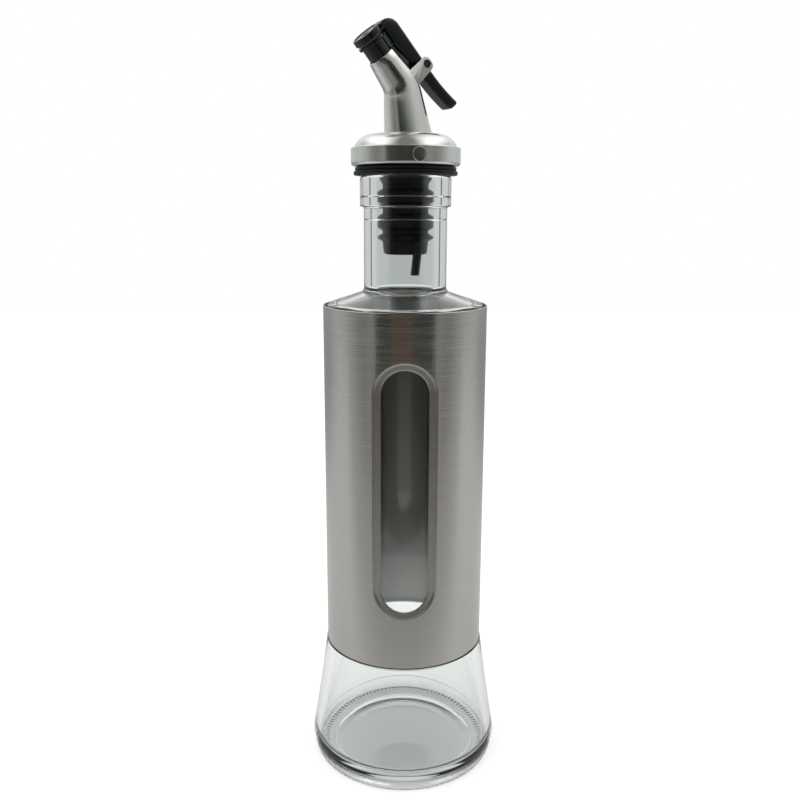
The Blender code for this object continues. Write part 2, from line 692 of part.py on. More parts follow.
def lever_outline():
    """Side view of the arm and tail, from the lid round the crest and the tail's end."""
    half = LEVER_THICKNESS / 2
    lid_low = LID_BASE + PIN_DROP
    lid_high = lid_low + LID_THICKNESS
    crest = lid_high - CREST_DROP
    inner = PIN_STANDOFF - LEVER_LID_REACH
    corner_x = arm_middle(crest - CREST_RADIUS) - half + CREST_RADIUS
    outline = [(inner, lid_low + LID_EDGE), (inner, lid_high - LID_EDGE)]
    outline += [(inner - CREST_SLOPE, crest)]
    outline += arc((corner_x, crest - CREST_RADIUS), CREST_RADIUS, 90, 180, 5)
    tail_steps = 5
    heights = [-TAIL_STRAIGHT - (TAIL_LENGTH - TAIL_STRAIGHT) * i / tail_steps for i in range(tail_steps + 1)]
    outline += [(arm_middle(z) - half, z) for z in heights]
    outline += [(arm_middle(z) + half, z) for z in reversed(heights)]
    under = arm_middle(lid_low) + half + LEVER_FILLET
    return outline + arc((under, lid_low - LEVER_FILLET), LEVER_FILLET, 180, 90, 3)


def build_lever(pin_frame):
    bar = new_piece("lever", plate_mesh("lever", lever_outline(), LEVER_WIDTH), BLACK_GLOSS, pin_frame)
    edges = bar.modifiers.new("Edges", "BEVEL")
    edges.width = LEVER_EDGE
    edges.segments = 2
    edges.limit_method = "ANGLE"
    edges.angle_limit = radians(60)

    side = LEVER_WIDTH / 2 - SKIM
    knuckle = cylinder_mesh("knuckle", KNUCKLE_RADIUS, -side, side, 20, "Y")
    combine(bar, new_cutter("knuckle", knuckle, pin_frame), "UNION")

    lid_low = LID_BASE + PIN_DROP
    lid_high = lid_low + LID_THICKNESS
    seat = SEAL_RADIUS + CLEARANCE
    seat_top = lid_low + SEAL_THICKNESS - SEAL_SHOW + CLEARANCE
    stem = SEAL_STEM + CLEARANCE
    points = [(stem, lid_high - LID_DISH), (LID_DISH_RADIUS, lid_high - LID_DISH)]
    points += [(LID_DISH_RADIUS + LID_DISH, lid_high), (LID_RADIUS - LID_EDGE, lid_high)]
    points += [(LID_RADIUS, lid_high - LID_EDGE), (LID_RADIUS, lid_low)]
    points += [(seat, lid_low), (seat, seat_top), (stem, seat_top)]
    lid = turn(new_cutter("lid", profile_mesh("lid", points, True), pin_frame), 32)
    lid.location.x = PIN_STANDOFF
    combine(bar, lid, "UNION")

    hole = cylinder_mesh("pin_hole", PIN_RADIUS + CLEARANCE, -LEVER_WIDTH, LEVER_WIDTH, 16, "Y")
    combine(bar, new_cutter("pin_hole", hole, pin_frame), "DIFFERENCE")
    return bar


def build_lid_seal(pin_frame):
    low = PIN_DROP + NOZZLE_REACH + CLEARANCE
    top = low + SEAL_THICKNESS
    stem_top = PIN_DROP + LID_BASE + LID_THICKNESS - LID_DISH
    points = [(0, stem_top + SEAL_HEAD), (SEAL_STEM - SEAL_HEAD, stem_top + SEAL_HEAD)]
    points += [(SEAL_STEM, stem_top), (SEAL_STEM, top), (SEAL_RADIUS, top), (SEAL_RADIUS, low), (0, low)]
    profile = profile_mesh("lid_seal", points, False)
    made = turn(new_piece("lid_seal", profile, SILICONE, pin_frame), 24)
    made.location.x = PIN_STANDOFF
    return made


def build_hinge_pin(pin_frame):
    half = EAR_OUTSIDE - PIN_RECESS
    pin = cylinder_mesh("hinge_pin", PIN_RADIUS, -half, half, 16, "Y")
    return new_piece("hinge_pin", pin, BLACK_MATT, pin_frame)


def build_pourer():
    pourer = new_empty("pourer_axis", rotation=(0, 0, POURER_YAW))
    tip_frame = new_empty("tip_frame", TIP, (0, TIP_LEAN, 0), pourer)
    pin_frame = new_empty("lever_axis", (-PIN_STANDOFF, 0, -PIN_DROP), parent=tip_frame)
    bpy.context.view_layer.update()
    build_plug_core(pourer)
    build_air_tube(pourer)
    build_spout_shell(pourer, tip_frame, pin_frame)
    build_nozzle_insert(tip_frame)
    build_hinge_pin(pin_frame)
    build_lever(pin_frame)
    build_lid_seal(pin_frame)


clear_scene()
PARTS = new_collection("oil_cruet")
CUTTERS = new_collection("cutters")
GLASS = new_material("clear_glass", (0.86, 0.92, 0.90), 0.03, transmission=1.0)
STEEL = new_material("brushed_steel", (0.56, 0.54, 0.51), 0.32, metallic=1.0)
SILVER = new_material("silver_plastic", (0.62, 0.63, 0.61), 0.30, metallic=0.8)
RUBBER = new_material("black_rubber", (0.012, 0.014, 0.018), 0.55)
BLACK_GLOSS = new_material("gloss_black_plastic", (0.010, 0.012, 0.012), 0.16)
BLACK_MATT = new_material("matt_black_plastic", (0.014, 0.015, 0.016), 0.42)
SILICONE = new_material("grey_silicone", (0.10, 0.10, 0.10), 0.50)

build_glass_bottle()
build_steel_sleeve()
build_stopper()
build_pourer()
bpy.context.view_layer.update()
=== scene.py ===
"""Oil cruet: the finished bottle, sleeve and lever pourer, dressed for a photograph.

The bottle stands on z = 0 with its axis on Z and the sleeve's window facing -Y.
The pourer is modelled pointing along +X and is then turned about Z.
Lengths are in metres and angles in radians.
"""

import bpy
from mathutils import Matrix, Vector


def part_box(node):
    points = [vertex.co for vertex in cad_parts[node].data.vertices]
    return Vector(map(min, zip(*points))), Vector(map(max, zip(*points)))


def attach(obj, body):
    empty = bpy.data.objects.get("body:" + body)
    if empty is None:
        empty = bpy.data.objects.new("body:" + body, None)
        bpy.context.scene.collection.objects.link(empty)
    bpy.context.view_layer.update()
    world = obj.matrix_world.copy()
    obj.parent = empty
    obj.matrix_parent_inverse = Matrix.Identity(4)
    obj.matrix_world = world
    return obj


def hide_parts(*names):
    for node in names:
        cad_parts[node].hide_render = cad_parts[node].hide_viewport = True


bl_info = {
    "name": "Oil Cruet",
    "version": (1, 0, 0),
    "blender": (4, 5, 0),
    "location": "View3D > Sidebar > Oil Cruet",
    "description": "Models a glass oil cruet with a windowed steel sleeve and a lever pourer",
    "category": "Add Mesh",
}

from math import atan2, cos, degrees, pi, radians, sin, tan

import bmesh
import bpy
from bpy.props import FloatProperty, FloatVectorProperty, PointerProperty
from mathutils import Matrix, Vector

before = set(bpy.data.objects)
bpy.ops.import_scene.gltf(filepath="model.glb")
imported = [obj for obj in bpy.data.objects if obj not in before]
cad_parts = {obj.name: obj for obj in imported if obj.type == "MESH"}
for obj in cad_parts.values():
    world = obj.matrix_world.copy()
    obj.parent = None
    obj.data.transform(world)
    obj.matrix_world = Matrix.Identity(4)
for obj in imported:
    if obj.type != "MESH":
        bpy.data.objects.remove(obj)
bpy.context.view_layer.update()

# Sides of the turned pieces and rods, from the widest to the finest
ROUND_STEPS = 144
LID_STEPS = 96
FINE_STEPS = 72
BAR_STEPS = 48
PIN_STEPS = 40
TUBE_STEPS = 36
VENT_STEPS = 24

# Short radial marks under the foot, for each of which the bottle has two sides
KNURLS = 108

# A bend under the smooth angle is shaded round, and a soft one is braced beside a long straight stretch.
# An edge over the sharp angle can be rounded off.
SMOOTH_ANGLE = radians(34)
SHARP_ANGLE = radians(60)
SOFT_BEND = radians(3.5)
LONG_STRETCH = 0.0016
BRACE = 0.00015
WELD = 0.000002


# Properties

def length(name, text, value):
    return FloatProperty(name=name, description=text, default=value, unit="LENGTH", precision=5)


def angle(name, text, value):
    return FloatProperty(name=name, description=text, default=radians(value), subtype="ANGLE")


def share(name, text, value):
    return FloatProperty(name=name, description=text, default=value, min=0.0, max=1.0)


def colour(name, text, value):
    return FloatVectorProperty(name=name, description=text, default=value, subtype="COLOR", min=0.0, max=1.0)


class BottleSizes(bpy.types.PropertyGroup):
    heel: length("Heel radius", "Widest radius, just above the foot", 0.0373)
    heel_height: length("Heel height", "Height of the mould line round the widest place", 0.0072)
    heel_step: length("Heel step", "How far the foot stands back under the mould line", 0.0003)
    heel_line: length("Heel line", "Height of the fine line above the stippled band", 0.0052)
    heel_cut: length("Heel cut", "How far the stippled band stands back", 0.0001)
    foot: length("Foot radius", "Outer radius of the ring it stands on", 0.0354)
    foot_width: length("Foot width", "Width of the ring it stands on", 0.0075)
    knurl: length("Knurl depth", "Depth of the short radial marks under the foot", 0.0004)
    foot_step: length("Foot step", "Height of the step inside the ring it stands on", 0.0003)
    punt: length("Punt rise", "How far the underside is hollowed", 0.0040)
    floor_height: length("Floor height", "Height of the floor inside, next to the wall", 0.0050)
    floor_dome: length("Floor dome", "How far the floor rises to its middle", 0.0020)
    floor_corner: length("Floor corner", "Radius between the floor and the wall inside", 0.0040)
    inner_base: length("Inner base radius", "Inner radius of the flare at the corner", 0.0336)
    inner_ledge: length("Inner ledge radius", "Inner radius of the flare under the ledge", 0.0276)
    inner_bow: share("Inner bow", "How far the inner wall of the flare bows out", 0.2)
    flare_height: length("Flare height", "Height of the ledge under the sleeve", 0.0482)
    flare_top: length("Flare top radius", "Radius of the ledge under the sleeve", 0.0313)
    flare_sag: share("Flare sag", "How far the flare bows in", 0.12)
    body: length("Body radius", "Radius of the glass inside the sleeve", 0.0298)
    body_height: length("Body height", "Height from the ledge to the shoulder", 0.1346)
    wall: length("Wall", "Thickness of the glass wall", 0.0032)
    corner: length("Shoulder corner", "Radius of the shoulder's edge", 0.0028)
    drop: length("Shoulder drop", "How far the edge's centre lies below the shoulder", 0.0015)
    rise: length("Shoulder rise", "Height from the shoulder to the neck", 0.0052)
    fillet: length("Neck fillet", "Radius where the neck meets the shoulder", 0.0022)
    neck: length("Neck radius", "Outer radius of the neck", 0.0155)
    neck_height: length("Neck height", "Height of the plain neck", 0.0310)
    bore: length("Bore radius", "Inner radius of the neck", 0.01075)
    finish: length("Finish radius", "Outer radius of the thick mouth band", 0.0169)
    finish_height: length("Finish height", "Height of the thick mouth band", 0.0109)
    finish_step: length("Finish step", "Height of the step under the mouth band", 0.0013)
    lip: length("Mouth rounding", "Radius of the mouth's outer edge", 0.0011)
    score: length("Mould line", "Depth of the thin lines round the neck", 0.00018)


class SleeveSizes(bpy.types.PropertyGroup):
    radius: length("Radius", "Outer radius of the steel tube", 0.0310)
    sheet: length("Sheet", "Thickness of the steel", 0.0004)
    height: length("Height", "Height of the tube", 0.1344)
    gap: length("Gap", "Space between the tube and the glass ledge", 0.0003)
    window: length("Window half width", "From the window's middle line to its edge", 0.0090)
    window_height: length("Window height", "From end to end of the window", 0.0914)
    sill: length("Sill", "From the tube's lower edge to the window", 0.0228)
    band: length("Rim band", "Width of the pressed rim round the window", 0.0028)
    press: length("Rim depth", "How far the rim is pressed in", 0.0005)


class StopperSizes(bpy.types.PropertyGroup):
    flange: length("Flange radius", "Radius of the flange over the mouth", 0.0191)
    flange_height: length("Flange height", "Thickness of the flange", 0.0029)
    lip: length("Upper lip", "Height of the flange's upper lip", 0.0013)
    lip_step: length("Lip step", "How far the upper lip stands back", 0.0005)
    groove: length("Groove", "Depth of the groove between the lips", 0.0012)
    edge: length("Edge", "Chamfer of the flange's edges", 0.0004)
    plug: length("Plug radius", "Radius between the fins", 0.0085)
    tail: length("Tail radius", "Radius at the lower end", 0.0081)
    plug_length: length("Plug length", "From the mouth to the lower end", 0.0284)
    cone: length("Cone", "Height of the taper under the flange", 0.0030)
    fin: length("Fin radius", "Radius of the sealing fins", 0.01045)
    fin_slope: length("Fin slope", "Height of a fin's sloping side", 0.0011)
    bore: length("Bore radius", "Radius of the hole for the core", 0.0068)
    tube: length("Air tube radius", "Outer radius of the air tube", 0.00165)
    tube_bore: length("Air tube bore", "Inner radius of the air tube", 0.0010)
    tube_free: length("Air tube length", "How far the air tube hangs below the core", 0.0082)
    tube_deep: length("Air tube depth", "How far the air tube reaches into the core", 0.0140)
    tube_lean: length("Air tube lean", "How far its free end leans to the axis", 0.0009)
    tube_offset: length("Air tube offset", "From the bottle's axis to the tube's", 0.0045)
    tube_bearing: angle("Air tube bearing", "Bearing of the tube from the spout", 152)


class SpoutSizes(bpy.types.PropertyGroup):
    yaw: angle("Turn", "How far the pourer is turned about Z", 208)
    cap: length("Cap radius", "Outer radius of the cap", 0.0201)
    cap_top_edge: length("Band top radius", "Radius of the band's upper edge", 0.0193)
    band: length("Band height", "Height of the cap's upright band", 0.0066)
    band_round: length("Band rounding", "Height over which the band rounds in", 0.0004)
    rise: length("Dome rise", "Height of the dome over the band", 0.0046)
    crown: length("Crown radius", "Radius of the dome's flat top", 0.0124)
    crown_round: length("Crown rounding", "Radius of the dome's rounded side", 0.0068)
    wall: length("Cap wall", "Thickness of the cap's band", 0.0026)
    dome_wall: length("Dome wall", "Thickness of the cap's dome", 0.0018)
    lip: length("Cap lip", "Rounding of the cap's lower edge", 0.0012)
    foot_offset: length("Foot offset", "From the axis to the spout's foot", -0.00085)
    foot: length("Foot radius", "Radius of the spout where it leaves the cap", 0.0087)
    foot_lean: angle("Foot lean", "Lean of the lower spout", 9)
    bend: length("Bend radius", "Radius of the spout at the bend", 0.0065)
    bend_round: length("Bend rounding", "Radius of the bend's centre line", 0.0120)
    lower: length("Lower length", "From the cap to the bend", 0.0167)
    boss: length("Boss", "How far the spout reaches into the cap", 0.0060)
    tip_lean: angle("Tip lean", "Lean of the upper spout", 40.8)
    upper: length("Upper length", "From the bend to the tip", 0.0130)
    tip: length("Tip radius", "Radius of the spout's tip", 0.0050)
    passage: length("Passage radius", "Radius of the passage at the bend", 0.0040)
    vent: length("Vent radius", "Radius of the air hole in the dome", 0.0008)
    vent_offset: length("Vent offset", "From the axis to the air hole", 0.0118)
    mark: length("Mark radius", "Radius of the round moulding marks on the band", 0.0025)


class LeverSizes(bpy.types.PropertyGroup):
    nozzle: length("Nozzle radius", "Radius of the black insert", 0.0043)
    nozzle_bore: length("Nozzle bore", "Radius of the pouring hole", 0.0026)
    nozzle_deep: length("Nozzle depth", "How far the insert reaches into the spout", 0.0080)
    nozzle_reach: length("Nozzle reach", "How far the insert stands out", 0.0060)
    nozzle_lip: length("Nozzle lip radius", "Radius of the insert's lip", 0.0052)
    nozzle_lip_height: length("Nozzle lip height", "Height of the insert's lip", 0.0011)
    pin: length("Pin radius", "Radius of the hinge pin", 0.00105)
    pin_drop: length("Pin drop", "From the tip back to the pin", 0.0122)
    pin_out: length("Pin standoff", "From the tip's axis out to the pin", 0.0108)
    pin_recess: length("Pin recess", "How far the pin's ends lie inside the ears", 0.0005)
    ear: length("Ear half width", "Half the width of an ear", 0.0026)
    ear_end: length("Ear end", "Rounding of an ear's end", 0.0019)
    ear_flare: length("Ear flare", "How much wider an ear is at its root", 0.0008)
    ear_plate: length("Ear thickness", "Thickness of an ear", 0.0014)
    ear_root: length("Ear root", "How far an ear stops short of the tip's axis", 0.0020)
    fit: length("Fit", "Clearance between moving pieces", 0.0003)
    width: length("Lever width", "Width of the lever", 0.0070)
    thick: length("Lever thickness", "Thickness of the lever", 0.0040)
    edge: length("Lever edge", "Rounding of the lever's edges", 0.0012)
    crest: length("Crest radius", "Rounding of the lever's crest", 0.0045)
    crest_drop: length("Crest drop", "How far the crest lies below the lid's face", 0.00035)
    tail: length("Tail length", "From the pin to the thumb end", 0.0187)
    tail_straight: length("Straight tail", "Length of the tail before it flares", 0.0035)
    sink: length("Arm sink", "From the pin to the arm's middle line", 0.0012)
    web: length("Web reach", "From the pin out to the web between the arm and the lid", 0.0052)
    knuckle: length("Knuckle radius", "Radius of the lever's knuckle", 0.0021)
    lid: length("Lid radius", "Radius of the lid", 0.0054)
    lid_height: length("Lid thickness", "Thickness of the lid", 0.0024)
    lid_reach: length("Lid reach", "From the tip's axis to the arm's root", 0.0045)
    dish: length("Lid dish", "Depth of the hollow in the lid's face", 0.0003)
    dish_radius: length("Dish radius", "Radius of the hollow in the lid's face", 0.0043)
    seal: length("Seal radius", "Radius of the seal under the lid", 0.0048)
    seal_height: length("Seal thickness", "Thickness of the seal", 0.0009)
    seal_show: length("Seal shown", "How much of the seal shows under the lid", 0.0005)
    stem: length("Stem radius", "Radius of the seal's stem", 0.0011)


class Finishes(bpy.types.PropertyGroup):
    glass: colour("Glass", "Tint of the clear glass", (0.96, 0.98, 0.972))
    steel: colour("Steel", "Colour of the brushed steel", (0.56, 0.545, 0.52))
    silver: colour("Silver", "Colour of the metallised plastic", (0.70, 0.71, 0.69))
    rubber: colour("Rubber", "Colour of the stopper", (0.0025, 0.0045, 0.007))
    gloss_black: colour("Gloss black", "Colour of the lever and nozzle", (0.003, 0.005, 0.006))
    matt_black: colour("Matt black", "Colour of the core, tube and pin", (0.012, 0.013, 0.014))
    silicone: colour("Silicone", "Colour of the lid's seal", (0.06, 0.06, 0.06))


class StageSettings(bpy.types.PropertyGroup):
    eye: FloatVectorProperty(name="Camera place", description="Where the camera stands",
                             default=(-0.0018, -0.3264, 0.2169), subtype="TRANSLATION")
    pitch: angle("Camera pitch", "How far the camera looks down", 12.3)
    roll: angle("Camera roll", "How far the camera leans to the side", 0.195)
    lens: FloatProperty(name="Lens", description="Focal length in millimetres", default=38.673)
    sensor: FloatProperty(name="Sensor", description="Width of the sensor in millimetres", default=36.0)
    table_front: length("Table front", "How far the table reaches in front of the bottle", 0.27)


GROUPS = {
    "bottle": BottleSizes,
    "sleeve": SleeveSizes,
    "stopper": StopperSizes,
    "spout": SpoutSizes,
    "lever": LeverSizes,
    "finishes": Finishes,
    "stage": StageSettings,
}


class CruetSettings(bpy.types.PropertyGroup):
    bottle: PointerProperty(type=BottleSizes)
    sleeve: PointerProperty(type=SleeveSizes)
    stopper: PointerProperty(type=StopperSizes)
    spout: PointerProperty(type=SpoutSizes)
    lever: PointerProperty(type=LeverSizes)
    finishes: PointerProperty(type=Finishes)
    stage: PointerProperty(type=StageSettings)


def settings():
    return bpy.context.scene.oil_cruet


# Modelling by hand

def only(piece):
    """Leaves edit mode and selects this piece alone."""
    if bpy.context.mode != "OBJECT":
        bpy.ops.object.mode_set(mode="OBJECT")
    bpy.ops.object.select_all(action="DESELECT")
    if piece:
        piece.select_set(True)
        bpy.context.view_layer.objects.active = piece


def new_primitive(name, add, **values):
    only(None)
    add(**values)
    made = bpy.context.object
    made.name = name
    made.data.name = name
    return made


def edit(piece):
    """Enters edit mode on this piece, with all its vertices selected."""
    only(piece)
    bpy.ops.object.mode_set(mode="EDIT")
    bpy.ops.mesh.select_mode(type="VERT")
    bpy.ops.mesh.select_all(action="SELECT")


def pick(piece, test):
    """In edit mode, selects the vertices whose place passes the test."""
    bm = bmesh.from_edit_mesh(piece.data)
    for vert in bm.verts:
        vert.select = test(vert.co)
    bm.select_flush_mode()
    bmesh.update_edit_mesh(piece.data)


def push(step):
    """In edit mode, extrudes what is selected."""
    bpy.ops.mesh.extrude_region_move(TRANSFORM_OT_translate={"value": step})


def draw_line(name, points):
    """A chain of points, extruded one from the other, left in edit mode."""
    made = new_primitive(name, bpy.ops.mesh.primitive_plane_add, size=0.001)
    edit(made)
    bpy.ops.mesh.merge(type="CENTER")
    here = Vector(points[0])
    bpy.ops.transform.translate(value=here)
    for point in points[1:]:
        push(Vector(point) - here)
        here = Vector(point)
    return made


def weld():
    """In edit mode, joins vertices that share a place and turns the faces outwards."""
    bpy.ops.mesh.select_all(action="SELECT")
    bpy.ops.mesh.remove_doubles(threshold=WELD)
    bpy.ops.mesh.normals_make_consistent(inside=False)


def braced(profile):
    """Adds a point beside each soft bend at the end of a long straight stretch, so it is shaded straight."""
    places = [Vector(point) for point in profile]
    kept = [places[0]]
    for i in range(1, len(places)):
        start, end = places[i - 1], places[i]
        along = end - start
        if along.length > LONG_STRETCH:
            brace = along.normalized() * BRACE
            if i > 1 and bends_softly(start - places[i - 2], along):
                kept.append(start + brace)
            if i < len(places) - 1 and bends_softly(along, places[i + 1] - end):
                kept.append(end - brace)
        kept.append(end)
    return kept


def bends_softly(before, after):
    """Whether the bend between two stretches is shaded round."""
    return SOFT_BEND < abs(before.angle_signed(after, 0.0)) < SMOOTH_ANGLE


def turned(name, profile, steps=ROUND_STEPS):
    """A profile of (radius, height) points, spun once about Z."""
    made = draw_line(name, [(r, 0, z) for r, z in braced(profile)])
    bpy.ops.mesh.select_all(action="SELECT")
    bpy.ops.mesh.spin(steps=steps, angle=2 * pi, center=(0, 0, 0), axis=(0, 0, 1))
    weld()
    only(made)
    return made


def plate(name, outline, thickness, middle=0.0):
    """A flat outline of (x, z) points, made a plate along Y about y = middle."""
    made = draw_line(name, [(x, middle - thickness / 2, z) for x, z in outline])
    bpy.ops.mesh.select_all(action="SELECT")
    bpy.ops.mesh.edge_face_add()
    push((0, thickness, 0))
    weld()
    only(made)
    return made


def swept(name, sections):
    """A round bar through (centre, lean about Y, radius) sections, extruded ring by ring."""
    centre, lean, radius = sections[0]
    made = new_primitive(name, bpy.ops.mesh.primitive_circle_add, vertices=FINE_STEPS, radius=radius,
                         fill_type="NGON", location=centre, rotation=(0, lean, 0))
    bpy.ops.object.transform_apply(location=True, rotation=True, scale=True)
    edit(made)
    for next_centre, next_lean, next_radius in sections[1:]:
        push(next_centre - centre)
        grow = next_radius / radius
        bpy.ops.transform.resize(value=(grow, grow, grow), center_override=next_centre)
        if next_lean != lean:
            bpy.ops.transform.rotate(value=lean - next_lean, orient_axis="Y", center_override=next_centre)
        centre, lean, radius = next_centre, next_lean, next_radius
    weld()
    only(made)
    return made


def rod(name, radius, bottom, top, steps=FINE_STEPS, top_radius=None, place=Matrix()):
    """A cylinder or cone on Z between two heights, put at a place."""
    made = new_primitive(name, bpy.ops.mesh.primitive_cone_add, vertices=steps, radius1=radius,
                         radius2=radius if top_radius is None else top_radius,
                         depth=top - bottom, location=(0, 0, (top + bottom) / 2))
    bpy.ops.object.transform_apply(location=True, rotation=True, scale=True)
    return put(made, place)


def put(piece, place):
    """Moves a piece to its place and keeps that place in its mesh."""
    only(piece)
    piece.matrix_world = place
    bpy.ops.object.transform_apply(location=True, rotation=True, scale=True)
    return piece


def combine(piece, tool, operation):
    """Joins a tool to a piece or cuts it out, and removes the tool."""
    only(piece)
    modifier = piece.modifiers.new("Join", "BOOLEAN")
    modifier.operation = operation
    modifier.object = tool
    modifier.solver = "EXACT"
    bpy.ops.object.modifier_apply(modifier=modifier.name)
    bpy.data.objects.remove(tool)


def round_edges(piece, width, segments, clamp=True):
    """Rounds a piece's sharp edges, less wide where small features crowd them unless clamp is off."""
    only(piece)
    modifier = piece.modifiers.new("Edges", "BEVEL")
    modifier.width = width
    modifier.segments = segments
    modifier.limit_method = "ANGLE"
    modifier.angle_limit = SHARP_ANGLE
    modifier.use_clamp_overlap = clamp
    bpy.ops.object.modifier_apply(modifier=modifier.name)


def thicken(piece, amount):
    """Gives an open surface a wall on its inner side."""
    only(piece)
    modifier = piece.modifiers.new("Wall", "SOLIDIFY")
    modifier.thickness = amount
    modifier.offset = -1.0
    bpy.ops.object.modifier_apply(modifier=modifier.name)


def finish(piece, body, slot, finishes, *nodes):
    """Smooths a piece, gives it its finishes and sets it on its body."""
    only(piece)
    bpy.ops.object.shade_smooth_by_angle(angle=SMOOTH_ANGLE)
    for index, made in enumerate(finishes):
        if index < len(piece.data.materials):
            piece.data.materials[index] = made
        else:
            piece.data.materials.append(made)
    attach(piece, body)
    if nodes:
        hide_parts(*nodes)
    only(None)


def arc(centre, radius, start, end, count):
    """Points on an arc from start to end degrees, both ends included."""
    points = []
    for i in range(count + 1):
        turn = radians(start + (end - start) * i / count)
        points.append((centre[0] + radius * cos(turn), centre[1] + radius * sin(turn)))
    return points


# Shader maths

class Value:
    """One socket of a node tree, with arithmetic that adds Math nodes."""

    def __init__(self, finish, socket):
        self.finish = finish
        self.socket = socket

    def maths(self, operation, *values):
        return self.finish.add("ShaderNodeMath", {"operation": operation}, dict(enumerate(values)))

    def __add__(self, other):
        return self.maths("ADD", self, other)

    def __sub__(self, other):
        return self.maths("SUBTRACT", self, other)

    def __mul__(self, other):
        return self.maths("MULTIPLY", self, other)

    def __truediv__(self, other):
        return self.maths("DIVIDE", self, other)

    def absolute(self):
        return self.maths("ABSOLUTE", self)

    def most(self, other):
        return self.maths("MAXIMUM", self, other)

    def ramp(self, low, high, start=0.0, end=1.0):
        """Rises smoothly from start to end while this value goes from low to high."""
        values = {"Value": self, "From Min": low, "From Max": high, "To Min": start, "To Max": end}
        return self.finish.add("ShaderNodeMapRange", {"interpolation_type": "SMOOTHSTEP"}, values)

    def turn(self, low, high):
        """Rises from 0 to 1 while this angle goes from low to high degrees."""
        return self.ramp(radians(low), radians(high))


class Finish:
    """The node tree of one material or of the world."""

    def __init__(self, owner):
        owner.use_nodes = True
        self.owner = owner
        self.tree = owner.node_tree
        self.shader = self.tree.nodes.get("Principled BSDF")
        self.base = None

    def add(self, kind, options=None, values=None, output=0):
        node = self.tree.nodes.new(kind)
        for name, option in (options or {}).items():
            if name == "stops":
                self.set_stops(node.color_ramp, option)
            else:
                setattr(node, name, option)
        for name, value in (values or {}).items():
            self.feed(node.inputs[name], value)
        return Value(self, node.outputs[output])

    def set_stops(self, ramp, stops):
        while len(ramp.elements) < len(stops):
            ramp.elements.new(1.0)
        for element, (position, value) in zip(ramp.elements, stops):
            element.position = position
            element.color = (*value, 1.0)

    def feed(self, socket, value):
        if isinstance(value, Value):
            self.tree.links.new(value.socket, socket)
        else:
            socket.default_value = value

    def set(self, **values):
        for name, value in values.items():
            self.feed(self.shader.inputs[name.replace("_", " ")], value)

    def place(self, scale=(1, 1, 1), location=(0, 0, 0)):
        """Object coordinates, stretched and shifted."""
        where = self.add("ShaderNodeTexCoord", output="Object")
        return self.add("ShaderNodeMapping", None, {"Vector": where, "Scale": scale, "Location": location})

    def noise(self, scale, detail=2.0, roughness=0.5, stretch=(1, 1, 1), shift=(0, 0, 0)):
        where = self.place(stretch, shift)
        values = {"Vector": where, "Scale": scale, "Detail": detail, "Roughness": roughness}
        return self.add("ShaderNodeTexNoise", None, values)

    def blend(self, factor, first, second):
        """A mix of two colours."""
        values = {"Factor": factor, 6: first, 7: second}
        return self.add("ShaderNodeMix", {"data_type": "RGBA"}, values, output=2)

    def mottle(self, mask, darker, lighter):
        """Moves the base colour from a darker share of itself to a lighter one as the mask rises."""
        ends = [(*(channel * amount for channel in self.base), 1.0) for amount in (darker, lighter)]
        self.set(Base_Color=self.blend(mask, *ends))

    def rays(self, kind):
        """1 for rays of this kind, or how often a ray has been of it."""
        return self.add("ShaderNodeLightPath", output=kind)

    def roughen(self, mask, smoothest, roughest):
        """Moves the roughness between two values as the mask rises."""
        self.set(Roughness=mask.ramp(0.3, 0.7, smoothest, roughest))

    def emboss(self, height, strength, distance):
        values = {"Height": height, "Strength": strength, "Distance": distance}
        self.set(Normal=self.add("ShaderNodeBump", None, values))

    def axes(self, place):
        split = self.tree.nodes.new("ShaderNodeSeparateXYZ")
        self.feed(split.inputs[0], place)
        return [Value(self, output) for output in split.outputs]


def new_finish(name, base, **values):
    made = Finish(bpy.data.materials.new(name))
    made.base = base
    made.set(Base_Color=(*base, 1.0), **values)
    return made


def glass_finish():
    """Clear glass, a little wavy, with a stippled foot."""
    made = new_finish("bottle glass", settings().finishes.glass, Roughness=0.0, Transmission_Weight=1.0,
                      IOR=1.5)
    x, y, height = made.axes(made.place())
    reach = made.add("ShaderNodeMath", {"operation": "SQRT"}, {0: x * x + y * y})
    waves = made.noise(55.0, detail=1.0)
    stipple = made.noise(2400.0, detail=1.0, roughness=0.6)
    band_top, band_soft_top = 0.0053, 0.0050
    foot_side, heel_side = 0.0348, 0.0354
    heel = height.ramp(band_top, band_soft_top) * reach.ramp(foot_side, heel_side)
    relief = waves * 0.10 + stipple * heel * 0.4
    made.emboss(relief, strength=0.35, distance=0.0006)
    return made.owner


def steel_finish():
    """Steel brushed round the tube: long fine scratches, with a few deeper ones."""
    made = new_finish("brushed steel", settings().finishes.steel, Metallic=1.0, Anisotropic=0.7,
                      Anisotropic_Rotation=0.25)
    fine = made.noise(1.0, detail=3.0, roughness=0.7, stretch=(70, 70, 5200))
    coarse = made.noise(1.0, roughness=0.6, stretch=(45, 45, 1500), shift=(3, 1, 7))
    scratch = made.noise(1.0, detail=0.0, stretch=(30, 30, 2600), shift=(9, 4, 2)).ramp(0.66, 0.74)
    grain = fine * 0.6 + coarse * 0.4
    made.mottle(grain.ramp(0.35, 0.65), darker=0.95, lighter=1.04)
    made.roughen(grain, smoothest=0.19, roughest=0.27)
    made.emboss(grain * 0.35 + scratch * 0.8, strength=0.15, distance=0.00012)
    return made.owner


def inner_steel_finish():
    """The unbrushed inside of the sleeve, seen through the window and the glass."""
    made = new_finish("plain steel", settings().finishes.steel, Metallic=1.0)
    cloud = made.noise(60.0, stretch=(1, 1, 0.3))
    made.mottle(cloud, darker=0.96, lighter=1.04)
    made.roughen(cloud, smoothest=0.46, roughest=0.54)
    return made.owner


